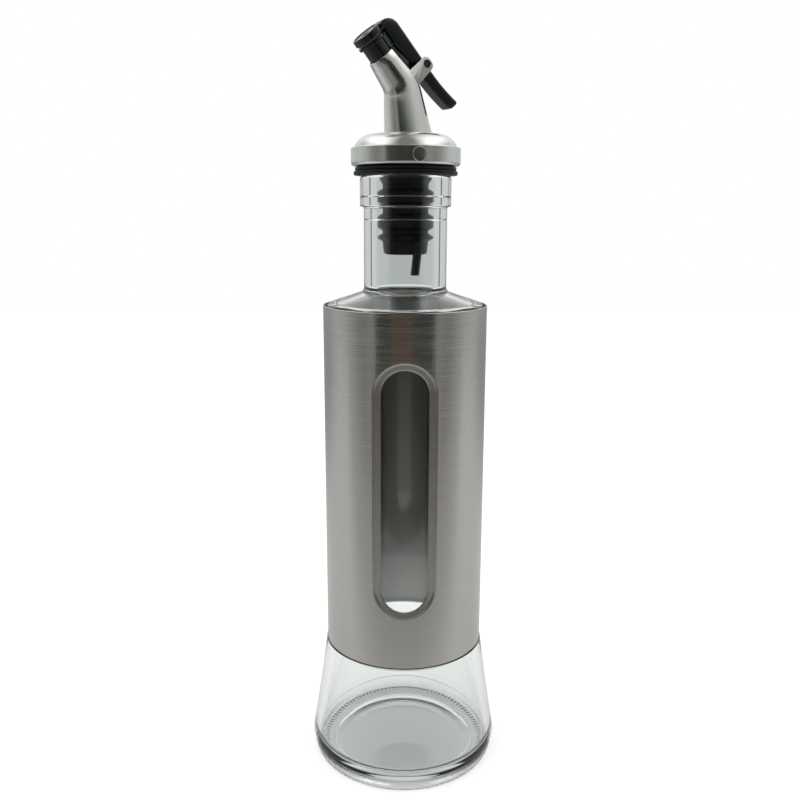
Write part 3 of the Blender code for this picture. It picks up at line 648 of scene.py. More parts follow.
def rim_finish():
    """The pressed rim, where the grain is rubbed smooth."""
    made = new_finish("pressed rim", settings().finishes.steel, Metallic=1.0)
    grain = made.noise(1.0, roughness=0.6, stretch=(120, 120, 2600))
    made.mottle(grain, darker=0.80, lighter=0.98)
    made.roughen(grain, smoothest=0.30, roughest=0.42)
    made.emboss(grain, strength=0.15, distance=0.0001)
    return made.owner


def silver_finish():
    """Metallised plastic, satin, with faint flow marks and two round moulding marks."""
    made = new_finish("silver plastic", settings().finishes.silver, Metallic=0.97)
    grain = made.noise(2200.0)
    flow = made.noise(160.0, stretch=(1, 1, 0.3))
    made.mottle(flow.ramp(0.3, 0.7), darker=0.93, lighter=1.04)
    made.roughen(flow, smoothest=0.16, roughest=0.21)
    ring = moulding_mark(made, radians(-76)).most(moulding_mark(made, radians(-16)))
    made.emboss(grain * 0.12 + ring * 1.6, strength=0.30, distance=0.00015)
    return made.owner


def moulding_mark(made, bearing):
    """1 on a thin round line on the cap's band, at a bearing from +X."""
    sizes = settings().spout
    line_width = 0.00016
    middle = cap_base() + sizes.band * 0.5
    values = {0: made.place(), 1: Vector((sizes.cap * cos(bearing), sizes.cap * sin(bearing), middle))}
    away = made.add("ShaderNodeVectorMath", {"operation": "DISTANCE"}, values, output="Value")
    return (away - sizes.mark).absolute().ramp(0.0, line_width, 1.0, 0.0)


def rubber_finish():
    """Matt rubber, a little dusty."""
    made = new_finish("stopper rubber", settings().finishes.rubber, Specular_IOR_Level=0.25)
    cloud = made.noise(260.0, detail=3.0)
    grain = made.noise(2600.0)
    made.mottle(cloud.ramp(0.3, 0.7), darker=0.7, lighter=1.5)
    made.roughen(cloud, smoothest=0.42, roughest=0.58)
    made.emboss(grain, strength=0.18, distance=0.0002)
    return made.owner


def gloss_black_finish():
    """Moulded gloss plastic with a soft, slightly uneven skin."""
    made = new_finish("gloss black plastic", settings().finishes.gloss_black, Specular_IOR_Level=0.4)
    cloud = made.noise(320.0)
    made.mottle(cloud, darker=0.8, lighter=1.3)
    made.roughen(cloud, smoothest=0.15, roughest=0.24)
    made.emboss(cloud, strength=0.10, distance=0.0004)
    return made.owner


def matt_black_finish():
    """Moulded matt plastic."""
    made = new_finish("matt black plastic", settings().finishes.matt_black)
    grain = made.noise(1800.0)
    made.mottle(grain, darker=0.8, lighter=1.3)
    made.roughen(grain, smoothest=0.36, roughest=0.50)
    made.emboss(grain, strength=0.12, distance=0.0002)
    return made.owner


def silicone_finish():
    """Soft grey silicone."""
    made = new_finish("seal silicone", settings().finishes.silicone)
    cloud = made.noise(900.0)
    made.mottle(cloud, darker=0.85, lighter=1.2)
    made.roughen(cloud, smoothest=0.40, roughest=0.55)
    return made.owner


def shared(name, maker):
    """A finish that several pieces use, made once."""
    return bpy.data.materials.get(name) or maker()


# Heights and places that follow from the sizes

def body_top():
    sizes = settings().bottle
    return sizes.flare_height + sizes.body_height


def neck_base():
    return body_top() + settings().bottle.rise


def finish_base():
    return neck_base() + settings().bottle.neck_height


def mouth():
    return finish_base() + settings().bottle.finish_height


def flange_base():
    return mouth() + settings().lever.fit


def core_base():
    return flange_base() - settings().stopper.plug_length + settings().lever.fit


def cap_base():
    return flange_base() + settings().stopper.flange_height + settings().lever.fit


def cap_top():
    sizes = settings().spout
    return cap_base() + sizes.band + sizes.rise


def spout_points():
    """The foot, bend and tip of the spout's centre line, and the two leans."""
    sizes = settings().spout
    foot = Vector((sizes.foot_offset, 0, cap_top()))
    lower = Vector((sin(sizes.foot_lean), 0, cos(sizes.foot_lean)))
    upper = Vector((sin(sizes.tip_lean), 0, cos(sizes.tip_lean)))
    bend = foot + lower * sizes.lower
    return foot, bend, bend + upper * sizes.upper, lower, upper


def pourer_place():
    return Matrix.Rotation(settings().spout.yaw, 4, "Z")


def tip_place():
    tip = spout_points()[2]
    return pourer_place() @ Matrix.Translation(tip) @ Matrix.Rotation(settings().spout.tip_lean, 4, "Y")


def pin_place():
    sizes = settings().lever
    return tip_place() @ Matrix.Translation((-sizes.pin_out, 0, -sizes.pin_drop))


# Bottle

def flare_radius(sizes, height):
    """Outer radius of the flared base at a height."""
    down = (sizes.flare_height - height) / (sizes.flare_height - sizes.heel_height)
    bowed = down + sizes.flare_sag * down * (down - 1)
    return sizes.flare_top + (sizes.heel - sizes.flare_top) * bowed


def bottle_inside(sizes):
    """Inner side of the glass from the middle of the floor up to the mouth."""
    inner = sizes.body - sizes.wall
    base = sizes.floor_height + sizes.floor_corner
    flat = sizes.inner_base - sizes.floor_corner
    ledge_soft, ledge_rise = 0.0004, 0.0012
    fillet = 0.0028
    lip = sizes.lip / 2
    points = []
    for i in range(10):
        points.append((flat * i / 10, sizes.floor_height + sizes.floor_dome * (1 - (i / 10) ** 2) ** 2))
    points += arc((flat, base), sizes.floor_corner, -90, 0, 12)
    for i in range(1, 7):
        part = i / 6
        bowed = part + sizes.inner_bow * part * (1 - part)
        radius = sizes.inner_base + (sizes.inner_ledge - sizes.inner_base) * bowed
        points.append((radius, base + (sizes.flare_height - base) * part))
    points.append((inner + ledge_soft, sizes.flare_height + ledge_rise))
    points.append((inner, sizes.flare_height + sizes.wall))
    points += arc((inner - sizes.corner, body_top() - sizes.drop - sizes.wall), sizes.corner, 0, 72, 6)
    points += arc((sizes.bore + fillet, neck_base()), fillet, 252, 180, 6)
    return points + arc((sizes.bore + lip, mouth() - lip), lip, 180, 90, 4)


def bottle_outside(sizes):
    """Outer side of the glass from the mouth down to the middle of the punt."""
    slope = (sizes.rise + sizes.drop - sizes.corner) / (sizes.body - sizes.corner - sizes.neck)
    lean = 90 - degrees(atan2(slope, 1))
    base = finish_base()
    upper_line, lower_line = 0.0036, 0.0046
    soft = 0.0004
    half = sizes.finish_step / 2
    points = arc((sizes.finish - sizes.lip, mouth() - sizes.lip), sizes.lip, 90, 0, 6)
    points += scored(sizes.finish, base + upper_line, sizes.score)
    points += arc((sizes.finish - half, base + half), half, 0, -80, 5)
    points += arc((sizes.neck + half, base - half), half, 100, 180, 4)
    points += scored(sizes.neck, base - lower_line, sizes.score)
    root = (sizes.neck + sizes.fillet, neck_base() + sizes.fillet * 0.75)
    points += arc(root, sizes.fillet, 180, 180 + lean, 7)
    points += arc((sizes.body - sizes.corner, body_top() - sizes.drop), sizes.corner, lean, 0, 7)
    points += [(sizes.body, sizes.flare_height + soft), (sizes.body + soft, sizes.flare_height)]
    points += arc((sizes.flare_top - soft, sizes.flare_height - soft), soft, 90, 10, 3)
    for i in range(1, 13):
        height = sizes.flare_height - (sizes.flare_height - sizes.heel_height) * i / 12
        points.append((flare_radius(sizes, height), height))
    heel = sizes.heel - sizes.heel_step - sizes.foot
    mould_line = 0.0001
    for i in range(13):
        turn = pi / 2 * i / 12
        height = (sizes.heel_height - mould_line) * (1 - sin(turn))
        cut = sizes.heel_cut if height < sizes.heel_line else 0.0
        points.append((sizes.foot + heel * cos(turn) - cut, height))
    rim = sizes.foot - sizes.foot_width
    plain_ring, rim_slope = 0.0026, 0.0002
    points += [(sizes.foot - soft, 0), (rim + plain_ring, 0), (rim, 0), (rim - rim_slope, sizes.foot_step)]
    for part in (0.96, 0.9, 0.8, 0.6, 0.4, 0.2, 0):
        points.append((rim * part, sizes.foot_step + (sizes.punt - sizes.foot_step) * (1 - part ** 2)))
    return points


def scored(radius, height, depth):
    """A thin line cut round the glass, from above to below."""
    half = depth * 1.4
    return [(radius, height + half), (radius - depth, height), (radius, height - half)]


class MakeBottle(bpy.types.Operator):
    """Model the glass bottle"""
    bl_idname = "oil_cruet.make_bottle"
    bl_label = "Glass Bottle"

    def execute(self, context):
        sizes = settings().bottle
        piece = turned("bottle", bottle_inside(sizes) + bottle_outside(sizes), KNURLS * 2)
        self.knurl(piece, sizes)
        finish(piece, "bottle", "clear_glass", [glass_finish()], "glass_bottle")
        return {"FINISHED"}

    def knurl(self, piece, sizes):
        """Lifts every second line of the ring it stands on, which leaves short radial marks."""
        unmarked = 0.0022
        inner = sizes.foot - sizes.foot_width + unmarked
        for vert in piece.data.vertices:
            if vert.co.z < WELD and inner < vert.co.xy.length < sizes.foot - WELD:
                line = round(atan2(vert.co.y, vert.co.x) / pi * KNURLS)
                vert.co.z += sizes.knurl * (line % 2)


# Sleeve

def window_ends(sizes):
    """Heights of the two centres of the window's round ends."""
    low = sizes.gap + settings().bottle.flare_height + sizes.sill + sizes.window
    return low, low + sizes.window_height - 2 * sizes.window


def rim_line(sizes):
    """Distance from the window's spine and depth below the tube, over the pressed rim."""
    outer = sizes.window + sizes.band
    press = sizes.press
    flat = ((0.0002, 0.00005), (-0.0001, 0.00008))
    slope = ((-0.0003, press * 0.45), (-0.0006, press * 0.85), (-0.0009, press))
    lip = ((0.0007, press * 1.05), (0.0003, press * 1.25), (0.00005, press * 1.6))
    line = [(outer + step, depth) for step, depth in flat + slope]
    return line + [(sizes.window + step, depth) for step, depth in lip]


def stadium(piece, middle, low, high):
    """Draws the two halves of a round outline apart, to the window's two ends."""
    pick(piece, lambda place: place.z > middle)
    bpy.ops.transform.translate(value=(0, 0, high - middle))
    pick(piece, lambda place: place.z <= middle)
    bpy.ops.transform.translate(value=(0, 0, low - middle))


def facing_window(across, height):
    """Turns a round outline to the window, with a flat side up, so that its halves can be drawn apart."""
    upright = Matrix.Rotation(pi / 2, 4, "X") @ Matrix.Rotation(pi / ROUND_STEPS, 4, "Z")
    return Matrix.Translation((0, across, height)) @ upright


def make_rim(sizes):
    """The pressed rim: rings drawn in from the outline, bent round the tube and given a wall."""
    low, high = window_ends(sizes)
    middle = (low + high) / 2
    line = rim_line(sizes)
    strip = new_primitive("window_rim", bpy.ops.mesh.primitive_circle_add, vertices=ROUND_STEPS,
                          radius=line[0][0])
    put(strip, facing_window(line[0][1], middle))
    edit(strip)
    stadium(strip, middle, low, high)
    bpy.ops.mesh.select_all(action="SELECT")
    for (reach, depth), (next_reach, next_depth) in zip(line, line[1:]):
        push((0, next_depth - depth, 0))
        grow = next_reach / reach
        for upper, end in ((True, high), (False, low)):
            pick(strip, lambda place: (place.z > middle) == upper and abs(place.y - next_depth) < WELD)
            bpy.ops.transform.resize(value=(grow, 1, grow), center_override=(0, 0, end))
        pick(strip, lambda place: abs(place.y - next_depth) < WELD)
    only(strip)
    for vert in strip.data.vertices:
        turn = vert.co.x / sizes.radius
        reach = sizes.radius - vert.co.y
        vert.co = Vector((reach * sin(turn), -reach * cos(turn), vert.co.z))
    edit(strip)
    bpy.ops.mesh.normals_make_consistent(inside=False)
    only(strip)
    if strip.data.polygons[0].normal.y > 0:
        strip.data.flip_normals()
    thicken(strip, sizes.sheet)
    return strip


def make_tube(sizes):
    """The tube, with the window and its rim cut out."""
    base = settings().bottle.flare_height + sizes.gap
    top = base + sizes.height
    inner = sizes.radius - sizes.sheet
    soft = sizes.sheet * 0.3
    profile = [(inner, base), (sizes.radius - soft, base), (sizes.radius, base + soft)]
    profile += [(sizes.radius, top - soft), (sizes.radius - soft, top), (inner, top), (inner, base)]
    tube = turned("sleeve", profile)
    low, high = window_ends(sizes)
    middle = (low + high) / 2
    near, far = 0.5 * sizes.radius, 1.5 * sizes.radius
    cutter = rod("window_cutter", sizes.window + sizes.band, near, far, ROUND_STEPS)
    put(cutter, facing_window(0, middle))
    edit(cutter)
    stadium(cutter, middle, low, high)
    combine(tube, cutter, "DIFFERENCE")
    return tube


class MakeSleeve(bpy.types.Operator):
    """Model the steel sleeve and the pressed rim of its window"""
    bl_idname = "oil_cruet.make_sleeve"
    bl_label = "Steel Sleeve"

    def execute(self, context):
        sizes = settings().sleeve
        tube = make_tube(sizes)
        finish(tube, "bottle", "brushed_steel", [steel_finish(), inner_steel_finish()], "steel_sleeve")
        for face in tube.data.polygons:
            inwards = face.normal.xy.dot(face.center.xy) < -0.5 * face.center.xy.length
            face.material_index = 1 if inwards else 0
        rim = make_rim(sizes)
        finish(rim, "bottle", "brushed_steel", [rim_finish()])
        return {"FINISHED"}


# Stopper, core and air tube

# How far each fin of the stopper lies below the flange, and its height
FINS = ((0.0059, 0.0036), (0.0147, 0.0040), (0.0219, 0.0007))


def fin_profile(sizes, top, height):
    """One sealing fin from above to below, its two edges cut off."""
    cut = 0.0001
    rim = sizes.fin - 2 * cut
    low = top - height
    points = [(sizes.plug, top + sizes.fin_slope), (rim, top + cut), (sizes.fin, top - cut)]
    return points + [(sizes.fin, low + cut), (rim, low - cut), (sizes.plug, low - sizes.fin_slope)]


def stopper_profile(sizes):
    """The stopper from its top face down its outside and back up its bore."""
    base = flange_base()
    top = base + sizes.flange_height
    lip = sizes.flange - sizes.lip_step
    groove = top - sizes.lip
    edge = sizes.edge
    groove_slope = 0.0001
    points = [(sizes.bore, top)] + arc((lip - edge, top - edge), edge, 90, 0, 4)
    points += arc((lip - edge, groove + edge), edge, 0, -80, 4)
    points += [(sizes.flange - sizes.groove, groove - groove_slope)]
    points += arc((sizes.flange - edge, groove - edge - groove_slope), edge, 80, 0, 4)
    points += arc((sizes.flange - edge, base + edge), edge, 0, -90, 4)
    points += [(sizes.fin, base), (sizes.fin, base - edge), (sizes.plug, base - sizes.cone)]
    for drop, height in FINS:
        points += fin_profile(sizes, base - drop, height)
    end = base - sizes.plug_length
    soft, soft_rise, end_cut = 0.0006, 0.0008, 0.0009
    points += arc((sizes.tail - soft, end + soft_rise), soft, 0, -70, 4)
    return points + [(sizes.tail - end_cut, end), (sizes.bore, end), (sizes.bore, top)]


class MakeStopper(bpy.types.Operator):
    """Model the rubber stopper"""
    bl_idname = "oil_cruet.make_stopper"
    bl_label = "Rubber Stopper"

    def execute(self, context):
        piece = turned("stopper_rubber", stopper_profile(settings().stopper))
        finish(piece, "stopper", "black_rubber", [rubber_finish()], "stopper")
        return {"FINISHED"}


class MakeAirTube(bpy.types.Operator):
    """Model the air tube under the stopper, and finish the core that holds it"""
    bl_idname = "oil_cruet.make_air_tube"
    bl_label = "Air Tube and Core"

    def execute(self, context):
        sizes = settings().stopper
        base = core_base()
        end = base - sizes.tube_free
        soft = 0.0003
        profile = [(sizes.tube_bore, base + sizes.tube_deep), (sizes.tube, base + sizes.tube_deep)]
        profile += [(sizes.tube, base - sizes.tube_free * part / 6) for part in range(6)]
        profile += arc((sizes.tube - soft, end + soft), soft, 0, -90, 4)
        profile += arc((sizes.tube_bore + soft / 2, end + soft / 2), soft / 2, -90, -180, 3)
        profile += [(sizes.tube_bore, base), (sizes.tube_bore, base + sizes.tube_deep)]
        piece = turned("air_pipe", profile, TUBE_STEPS)
        for vert in piece.data.vertices:
            hang = max(0.0, base - vert.co.z) / sizes.tube_free
            vert.co.x += sizes.tube_offset - sizes.tube_lean * hang
        put(piece, pourer_place() @ Matrix.Rotation(sizes.tube_bearing, 4, "Z"))
        matt = shared("matt black plastic", matt_black_finish)
        finish(piece, "pourer", "matt_black_plastic", [matt], "air_tube")
        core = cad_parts["plug_core"]
        core.data.materials.clear()
        core.data.materials.append(matt)
        return {"FINISHED"}


# Cap and spout

def cap_profile(sizes):
    """The cap from its crown, down its outside and up its hollow underside."""
    base = cap_base()
    band_top = base + sizes.band
    inside = sizes.cap - sizes.wall
    crown = (sizes.crown, cap_top() - sizes.crown_round)
    points = [(0, cap_top())] + arc(crown, sizes.crown_round, 90, 20, 12)
    for turn in (radians(84), radians(64), radians(44), radians(22), 0):
        radius = sizes.cap_top_edge + (sizes.cap - sizes.cap_top_edge) * cos(turn)
        points.append((radius, band_top - sizes.band_round * (1 - sin(turn))))
    points += arc((sizes.cap - sizes.lip, base + sizes.lip), sizes.lip, 0, -90, 7)
    points += [(inside, base), (inside, crown[1])]
    points += arc(crown, sizes.crown_round - sizes.dome_wall, 20, 90, 6)
    return points + [(0, cap_top() - sizes.dome_wall)]


# How far each ring of the spout's mouth lies before the tip, and how much narrower it is
MOUTH_RINGS = ((0.003, 0.0), (0.00035, 0.0), (0.0001, 0.0001), (0.0, 0.0003))


def spout_sections(sizes):
    """Rings of the spout from the boss inside the cap to its tip."""
    foot, bend, tip, lower, upper = spout_points()
    turn = sizes.tip_lean - sizes.foot_lean
    tangent = sizes.bend_round * tan(turn / 2)
    side = Vector((cos(sizes.foot_lean), 0, -sin(sizes.foot_lean)))
    centre = bend - lower * tangent + side * sizes.bend_round
    narrowing = (sizes.foot - sizes.bend) / sizes.lower
    sections = []
    for i in range(9):
        along = -sizes.boss + (sizes.lower - tangent + sizes.boss) * i / 9
        sections.append((foot + lower * along, sizes.foot_lean, sizes.foot - narrowing * along))
    for i in range(13):
        part = i / 12
        lean = sizes.foot_lean + turn * part
        place = centre + Vector((-cos(lean), 0, sin(lean))) * sizes.bend_round
        along = (2 * part - 1) * tangent
        if along < 0:
            radius = sizes.bend - narrowing * along
        else:
            radius = sizes.bend + (sizes.tip - sizes.bend) * along / sizes.upper
        sections.append((place, lean, radius))
    for along, less in MOUTH_RINGS:
        radius = sizes.tip + (sizes.bend - sizes.tip) * along / sizes.upper - less
        sections.append((tip - upper * along, sizes.tip_lean, radius))
    return sections


def ear_outline(sizes):
    """Side view of an ear, from its round end to its root in the spout."""
    root = sizes.pin_out - sizes.ear_root
    corner = sizes.ear - sizes.ear_end
    outline = arc((0, corner), sizes.ear_end, 90, 180, 10) + arc((0, -corner), sizes.ear_end, 180, 270, 10)
    return outline + [(root, -sizes.ear - sizes.ear_flare), (root, sizes.ear)]


def ear_reach(sizes):
    """From the middle of the lever to the outside of an ear."""
    return sizes.width / 2 + sizes.fit + sizes.ear_plate


class MakeSpout(bpy.types.Operator):
    """Model the silver cap with its spout and hinge ears"""
    bl_idname = "oil_cruet.make_spout"
    bl_label = "Cap and Spout"

    def execute(self, context):
        sizes = settings().spout
        lever = settings().lever
        piece = turned("cap_and_spout", cap_profile(sizes))
        put(piece, pourer_place())
        bar = swept("spout_bar", spout_sections(sizes))
        combine(piece, put(bar, pourer_place()), "UNION")
        for side in (-1, 1):
            middle = side * (ear_reach(lever) - lever.ear_plate / 2)
            ear = plate("ear", ear_outline(lever), lever.ear_plate, middle)
            round_edges(ear, width=0.00025, segments=2)
            combine(piece, put(ear, pin_place()), "UNION")
        self.hollow(piece, sizes, lever)
        finish(piece, "pourer", "silver_plastic", [silver_finish()], "spout_shell")
        return {"FINISHED"}

    def hollow(self, piece, sizes, lever):
        """Cuts the socket, the passage, the nozzle's seat, the pin's holes and the vent."""
        foot = spout_points()[0]
        pourer = pourer_place()
        over, past_bend = 0.003, 0.001
        socket, passage_foot = 0.0063, 0.005
        core_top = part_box("plug_core")[1].z
        cutters = [rod("socket", socket, cap_base(), core_top + lever.fit, place=pourer)]
        lower = pourer @ Matrix.Translation(foot) @ Matrix.Rotation(sizes.foot_lean, 4, "Y")
        passage = rod("passage", passage_foot, -sizes.boss, sizes.lower, BAR_STEPS, sizes.passage, lower)
        cutters.append(passage)
        narrow = sizes.passage * 0.9
        cutters.append(rod("passage", narrow, -sizes.upper - past_bend, 0, BAR_STEPS, place=tip_place()))
        wide = lever.nozzle + lever.fit
        cutters.append(rod("seat", wide, -lever.nozzle_deep - lever.fit, over, place=tip_place()))
        cutters += self.pin_holes(lever, over)
        vent = pourer @ Matrix.Translation((-sizes.vent_offset, 0, 0))
        inside = cap_top() - sizes.rise - sizes.dome_wall
        cutters.append(rod("vent", sizes.vent, inside, cap_top() + over, VENT_STEPS, place=vent))
        for cutter in cutters:
            combine(piece, cutter, "DIFFERENCE")

    def pin_holes(self, lever, over):
        """A rod through both ears, and a cone that widens the hole at the outside of each."""
        reach = ear_reach(lever)
        across = pin_place() @ Matrix.Rotation(pi / 2, 4, "X")
        wide = lever.pin + lever.fit
        rim_depth, cone = 0.00022, 0.0006
        cutters = [rod("pin_hole", wide, -reach - over, reach + over, PIN_STEPS, place=across)]
        for side in (-1, 1):
            deep = side * (reach - rim_depth)
            ends = (wide, wide + cone) if side > 0 else (wide + cone, wide)
            low, high = sorted((deep, deep + side * cone))
            cutters.append(rod("hole_rim", ends[0], low, high, PIN_STEPS, ends[1], across))
        return cutters


# Nozzle, pin, lever and seal

class MakeNozzle(bpy.types.Operator):
    """Model the black pouring insert in the spout's tip"""
    bl_idname = "oil_cruet.make_nozzle"
    bl_label = "Nozzle"

    def execute(self, context):
        sizes = settings().lever
        top = sizes.nozzle_reach
        lip_base = top - sizes.nozzle_lip_height
        soft = 0.00025
        profile = [(sizes.nozzle_bore, -sizes.nozzle_deep), (sizes.nozzle_bore, top - soft)]
        profile += [(sizes.nozzle_bore + soft, top)]
        profile += arc((sizes.nozzle_lip - soft, top - soft), soft, 90, 0, 4)
        profile += arc((sizes.nozzle_lip - soft, lip_base + soft), soft, 0, -90, 4)
        profile += arc((sizes.nozzle + soft, lip_base - soft), soft, 90, 180, 3)
        profile += [(sizes.nozzle, -sizes.nozzle_deep), (sizes.nozzle_bore, -sizes.nozzle_deep)]
        piece = put(turned("nozzle", profile, LID_STEPS), tip_place())
        gloss = shared("gloss black plastic", gloss_black_finish)
        finish(piece, "pourer", "gloss_black_plastic", [gloss], "nozzle_insert")
        return {"FINISHED"}


class MakePin(bpy.types.Operator):
    """Model the hinge pin"""
    bl_idname = "oil_cruet.make_pin"
    bl_label = "Hinge Pin"

    def execute(self, context):
        sizes = settings().lever
        half = ear_reach(sizes) - sizes.pin_recess
        soft = 0.0002
        dimple, dimple_side = 0.0002, 0.00015
        profile = [(0, half - dimple), (sizes.pin * 0.35, half - dimple_side), (sizes.pin * 0.5, half)]
        profile += arc((sizes.pin - soft, half - soft), soft, 90, 0, 4)
        profile += [(radius, -height) for radius, height in reversed(profile)]
        piece = turned("pin", profile, PIN_STEPS)
        put(piece, pin_place() @ Matrix.Rotation(pi / 2, 4, "X"))
        matt = shared("matt black plastic", matt_black_finish)
        finish(piece, "pourer", "matt_black_plastic", [matt], "hinge_pin")
        return {"FINISHED"}


# Slope of the lever's bar to the spout's tip, and how strongly its tail flares out
BAR_SLOPE = 0.0262
TAIL_FLARE = 7.45


def arm_middle(sizes, height):
    """How far the bar's middle lies from the pin, towards the spout, at a height along the arm."""
    flare = max(0.0, -sizes.tail_straight - height)
    return sizes.sink + BAR_SLOPE * height - TAIL_FLARE * flare ** 2


def lid_heights(sizes):
    """Heights of the lid's two faces over the pin."""
    low = sizes.nozzle_reach + sizes.fit + sizes.seal_show + sizes.pin_drop
    return low, low + sizes.lid_height


def lever_outline(sizes):
    """Side view of the lever, from the lid round the crest and the tail's end."""
    half = sizes.thick / 2
    low, high = lid_heights(sizes)
    crest = high - sizes.crest_drop
    inner = sizes.pin_out - sizes.lid_reach
    corner = arm_middle(sizes, crest - sizes.crest) - half + sizes.crest
    soft, slope = 0.0004, 0.0012
    outline = [(inner, low + soft), (inner, high - soft), (inner - slope, crest)]
    outline += arc((corner, crest - sizes.crest), sizes.crest, 90, 180, 14)
    span = sizes.tail - sizes.tail_straight
    heights = [-sizes.tail_straight - span * i / 10 for i in range(11)]
    outline += [(arm_middle(sizes, z) - half, z) for z in heights]
    outline += [(arm_middle(sizes, z) + half, z) for z in reversed(heights)]
    fillet = 0.0008
    over_pin, web_slope, web_rise = 0.002, 0.0003, 0.0022
    outline += [(arm_middle(sizes, over_pin) + half, over_pin)]
    outline += [(sizes.web - web_slope, sizes.pin_drop - web_rise), (sizes.web, sizes.pin_drop)]
    return outline + arc((sizes.web + fillet, low - fillet), fillet, 180, 90, 6)


class MakeLever(bpy.types.Operator):
    """Model the thumb lever with its lid"""
    bl_idname = "oil_cruet.make_lever"
    bl_label = "Lever"

    def execute(self, context):
        sizes = settings().lever
        piece = plate("lever_arm", lever_outline(sizes), sizes.width)
        round_edges(piece, sizes.edge, segments=5, clamp=False)
        inset = 0.0001
        side = sizes.width / 2 - inset
        across = Matrix.Rotation(pi / 2, 4, "X")
        combine(piece, rod("knuckle", sizes.knuckle, -side, side, BAR_STEPS, place=across), "UNION")
        lid = turned("lid", self.lid_profile(sizes), LID_STEPS)
        combine(piece, put(lid, Matrix.Translation((sizes.pin_out, 0, 0))), "UNION")
        hole = rod("pin_hole", sizes.pin + sizes.fit, -sizes.width, sizes.width, PIN_STEPS, place=across)
        combine(piece, hole, "DIFFERENCE")
        put(piece, pin_place())
        gloss = shared("gloss black plastic", gloss_black_finish)
        finish(piece, "lever", "gloss_black_plastic", [gloss], "lever")
        return {"FINISHED"}

    def lid_profile(self, sizes):
        """The lid round its outside, with its dished face and the seal's seat."""
        low, high = lid_heights(sizes)
        seat = sizes.seal + sizes.fit
        seat_top = low + sizes.seal_height - sizes.seal_show + sizes.fit
        stem = sizes.stem + sizes.fit
        soft, dish_soft, dish_edge = 0.0004, 0.00004, 0.0001
        slope = sizes.dish_radius + sizes.dish
        points = [(stem, high - sizes.dish), (sizes.dish_radius, high - sizes.dish)]
        points += [(slope, high - dish_soft), (slope + dish_edge, high)]
        points += arc((sizes.lid - soft, high - soft), soft, 90, 0, 5)
        points += arc((sizes.lid - soft / 2, low + soft / 2), soft / 2, 0, -90, 3)
        return points + [(seat, low), (seat, seat_top), (stem, seat_top), (stem, high - sizes.dish)]


class MakeSeal(bpy.types.Operator):
    """Model the soft seal under the lid"""
    bl_idname = "oil_cruet.make_seal"
    bl_label = "Lid Seal"

    def execute(self, context):
        sizes = settings().lever
        low = sizes.pin_drop + sizes.nozzle_reach + sizes.fit
        top = low + sizes.seal_height
        stem_top = lid_heights(sizes)[1] - sizes.dish
        soft = 0.0002
        stem_round, stem_crown, stem_side = 0.0003, 0.0002, 0.0001
        profile = [(0, stem_top + stem_crown)]
        profile += arc((sizes.stem - stem_round, stem_top - stem_side), stem_round, 90, 0, 4)
        profile += [(sizes.stem, top)] + arc((sizes.seal - soft, top - soft), soft, 90, 0, 3)
        profile += arc((sizes.seal - soft, low + soft), soft, 0, -90, 3) + [(0, low)]
        piece = turned("seal", profile, FINE_STEPS)
        put(piece, pin_place() @ Matrix.Translation((sizes.pin_out, 0, 0)))
        finish(piece, "lever", "grey_silicone", [silicone_finish()], "lid_seal")
        return {"FINISHED"}


# Stage

# Bearing from the front, in degrees, and the colour of the studio's walls there
WALLS = (
    (41, (0.20, 0.20, 0.19)), (45, (0.29, 0.28, 0.26)), (50, (0.30, 0.29, 0.27)), (54, (0.22, 0.22, 0.21)),
    (66, (0.22, 0.22, 0.21)), (80, (0.33, 0.33, 0.32)), (98, (0.45, 0.46, 0.44)), (113, (0.50, 0.51, 0.49)),
    (127, (0.43, 0.45, 0.45)), (150, (0.31, 0.34, 0.36)), (180, (0.42, 0.44, 0.45)),
)

# Colours of the rest of the studio, by what the metal and the glass see
TONES = {
    "side wall": (0.64, 0.66, 0.65),
    "dark room": (0.004, 0.010, 0.008),
    "brown door": (0.100, 0.043, 0.016),
    "front floor": (0.26, 0.26, 0.25),
    "upper front": (0.34, 0.35, 0.34),
    "upper side": (0.62, 0.63, 0.61),
    "upper back": (0.95, 0.96, 0.95),
    "ceiling": (0.22, 0.23, 0.225),
    "light boxes": (1.6, 1.6, 1.57),
    "room light": (0.72, 0.72, 0.72),
    "through glass": (0.50, 0.525, 0.51),
    "mirrored in glass": (0.80, 0.82, 0.81),
    "mirrored level": (0.60, 0.62, 0.61),
    "dark line": (0.10, 0.11, 0.10),
    "camera side": (0.02, 0.02, 0.02),
    "camera side floor": (0.34, 0.30, 0.26),
    "backdrop": (1.0, 1.0, 1.0),
    "table, dull": (0.71, 0.71, 0.70),
    "table, bright": (0.73, 0.73, 0.72),
    # The table's two last tones are painted shade that only the metal mirrors: darker in front, darker and
    # bluer far back
    "table, painted shadow near": (0.45, 0.45, 0.44),
    "table, painted shade far": (0.36, 0.40, 0.43),
}


def tone(name):
    return (*TONES[name], 1.0)


def mirrored_studio(made, x, y, bearing, height):
    """The studio as the metal shows it: dark in front, walls beside, light boxes over both sides."""
    away = bearing.absolute()
    stops = [(stop / 180, tint) for stop, tint in WALLS]
    studio = made.add("ShaderNodeValToRGB", {"stops": stops}, {"Fac": away / pi})
    studio = made.blend(height.turn(-6, 5) * away.turn(75, 115), studio, tone("side wall"))
    door = (bearing + radians(4)).absolute().turn(17, 13) * height.turn(2, -5) * height.turn(-17, -11)
    front = made.blend(door, tone("dark room"), tone("brown door"))
    front = made.blend(height.turn(-12, -20), front, tone("front floor"))
    studio = made.blend(away.turn(44, 38), studio, front)
    upper = made.blend(away.turn(0, 75), tone("upper front"), tone("upper side"))
    studio = made.blend(height.turn(11, 15), studio, upper)
    studio = made.blend(height.turn(8, 22) * away.turn(120, 150), studio, tone("upper back"))
    beside = x.absolute() - (y * -0.4).most(0.0)
    boxes = made.blend(beside.ramp(0.0, 0.55), tone("ceiling"), tone("light boxes"))
    return made.blend(height.turn(26, 46), studio, boxes)


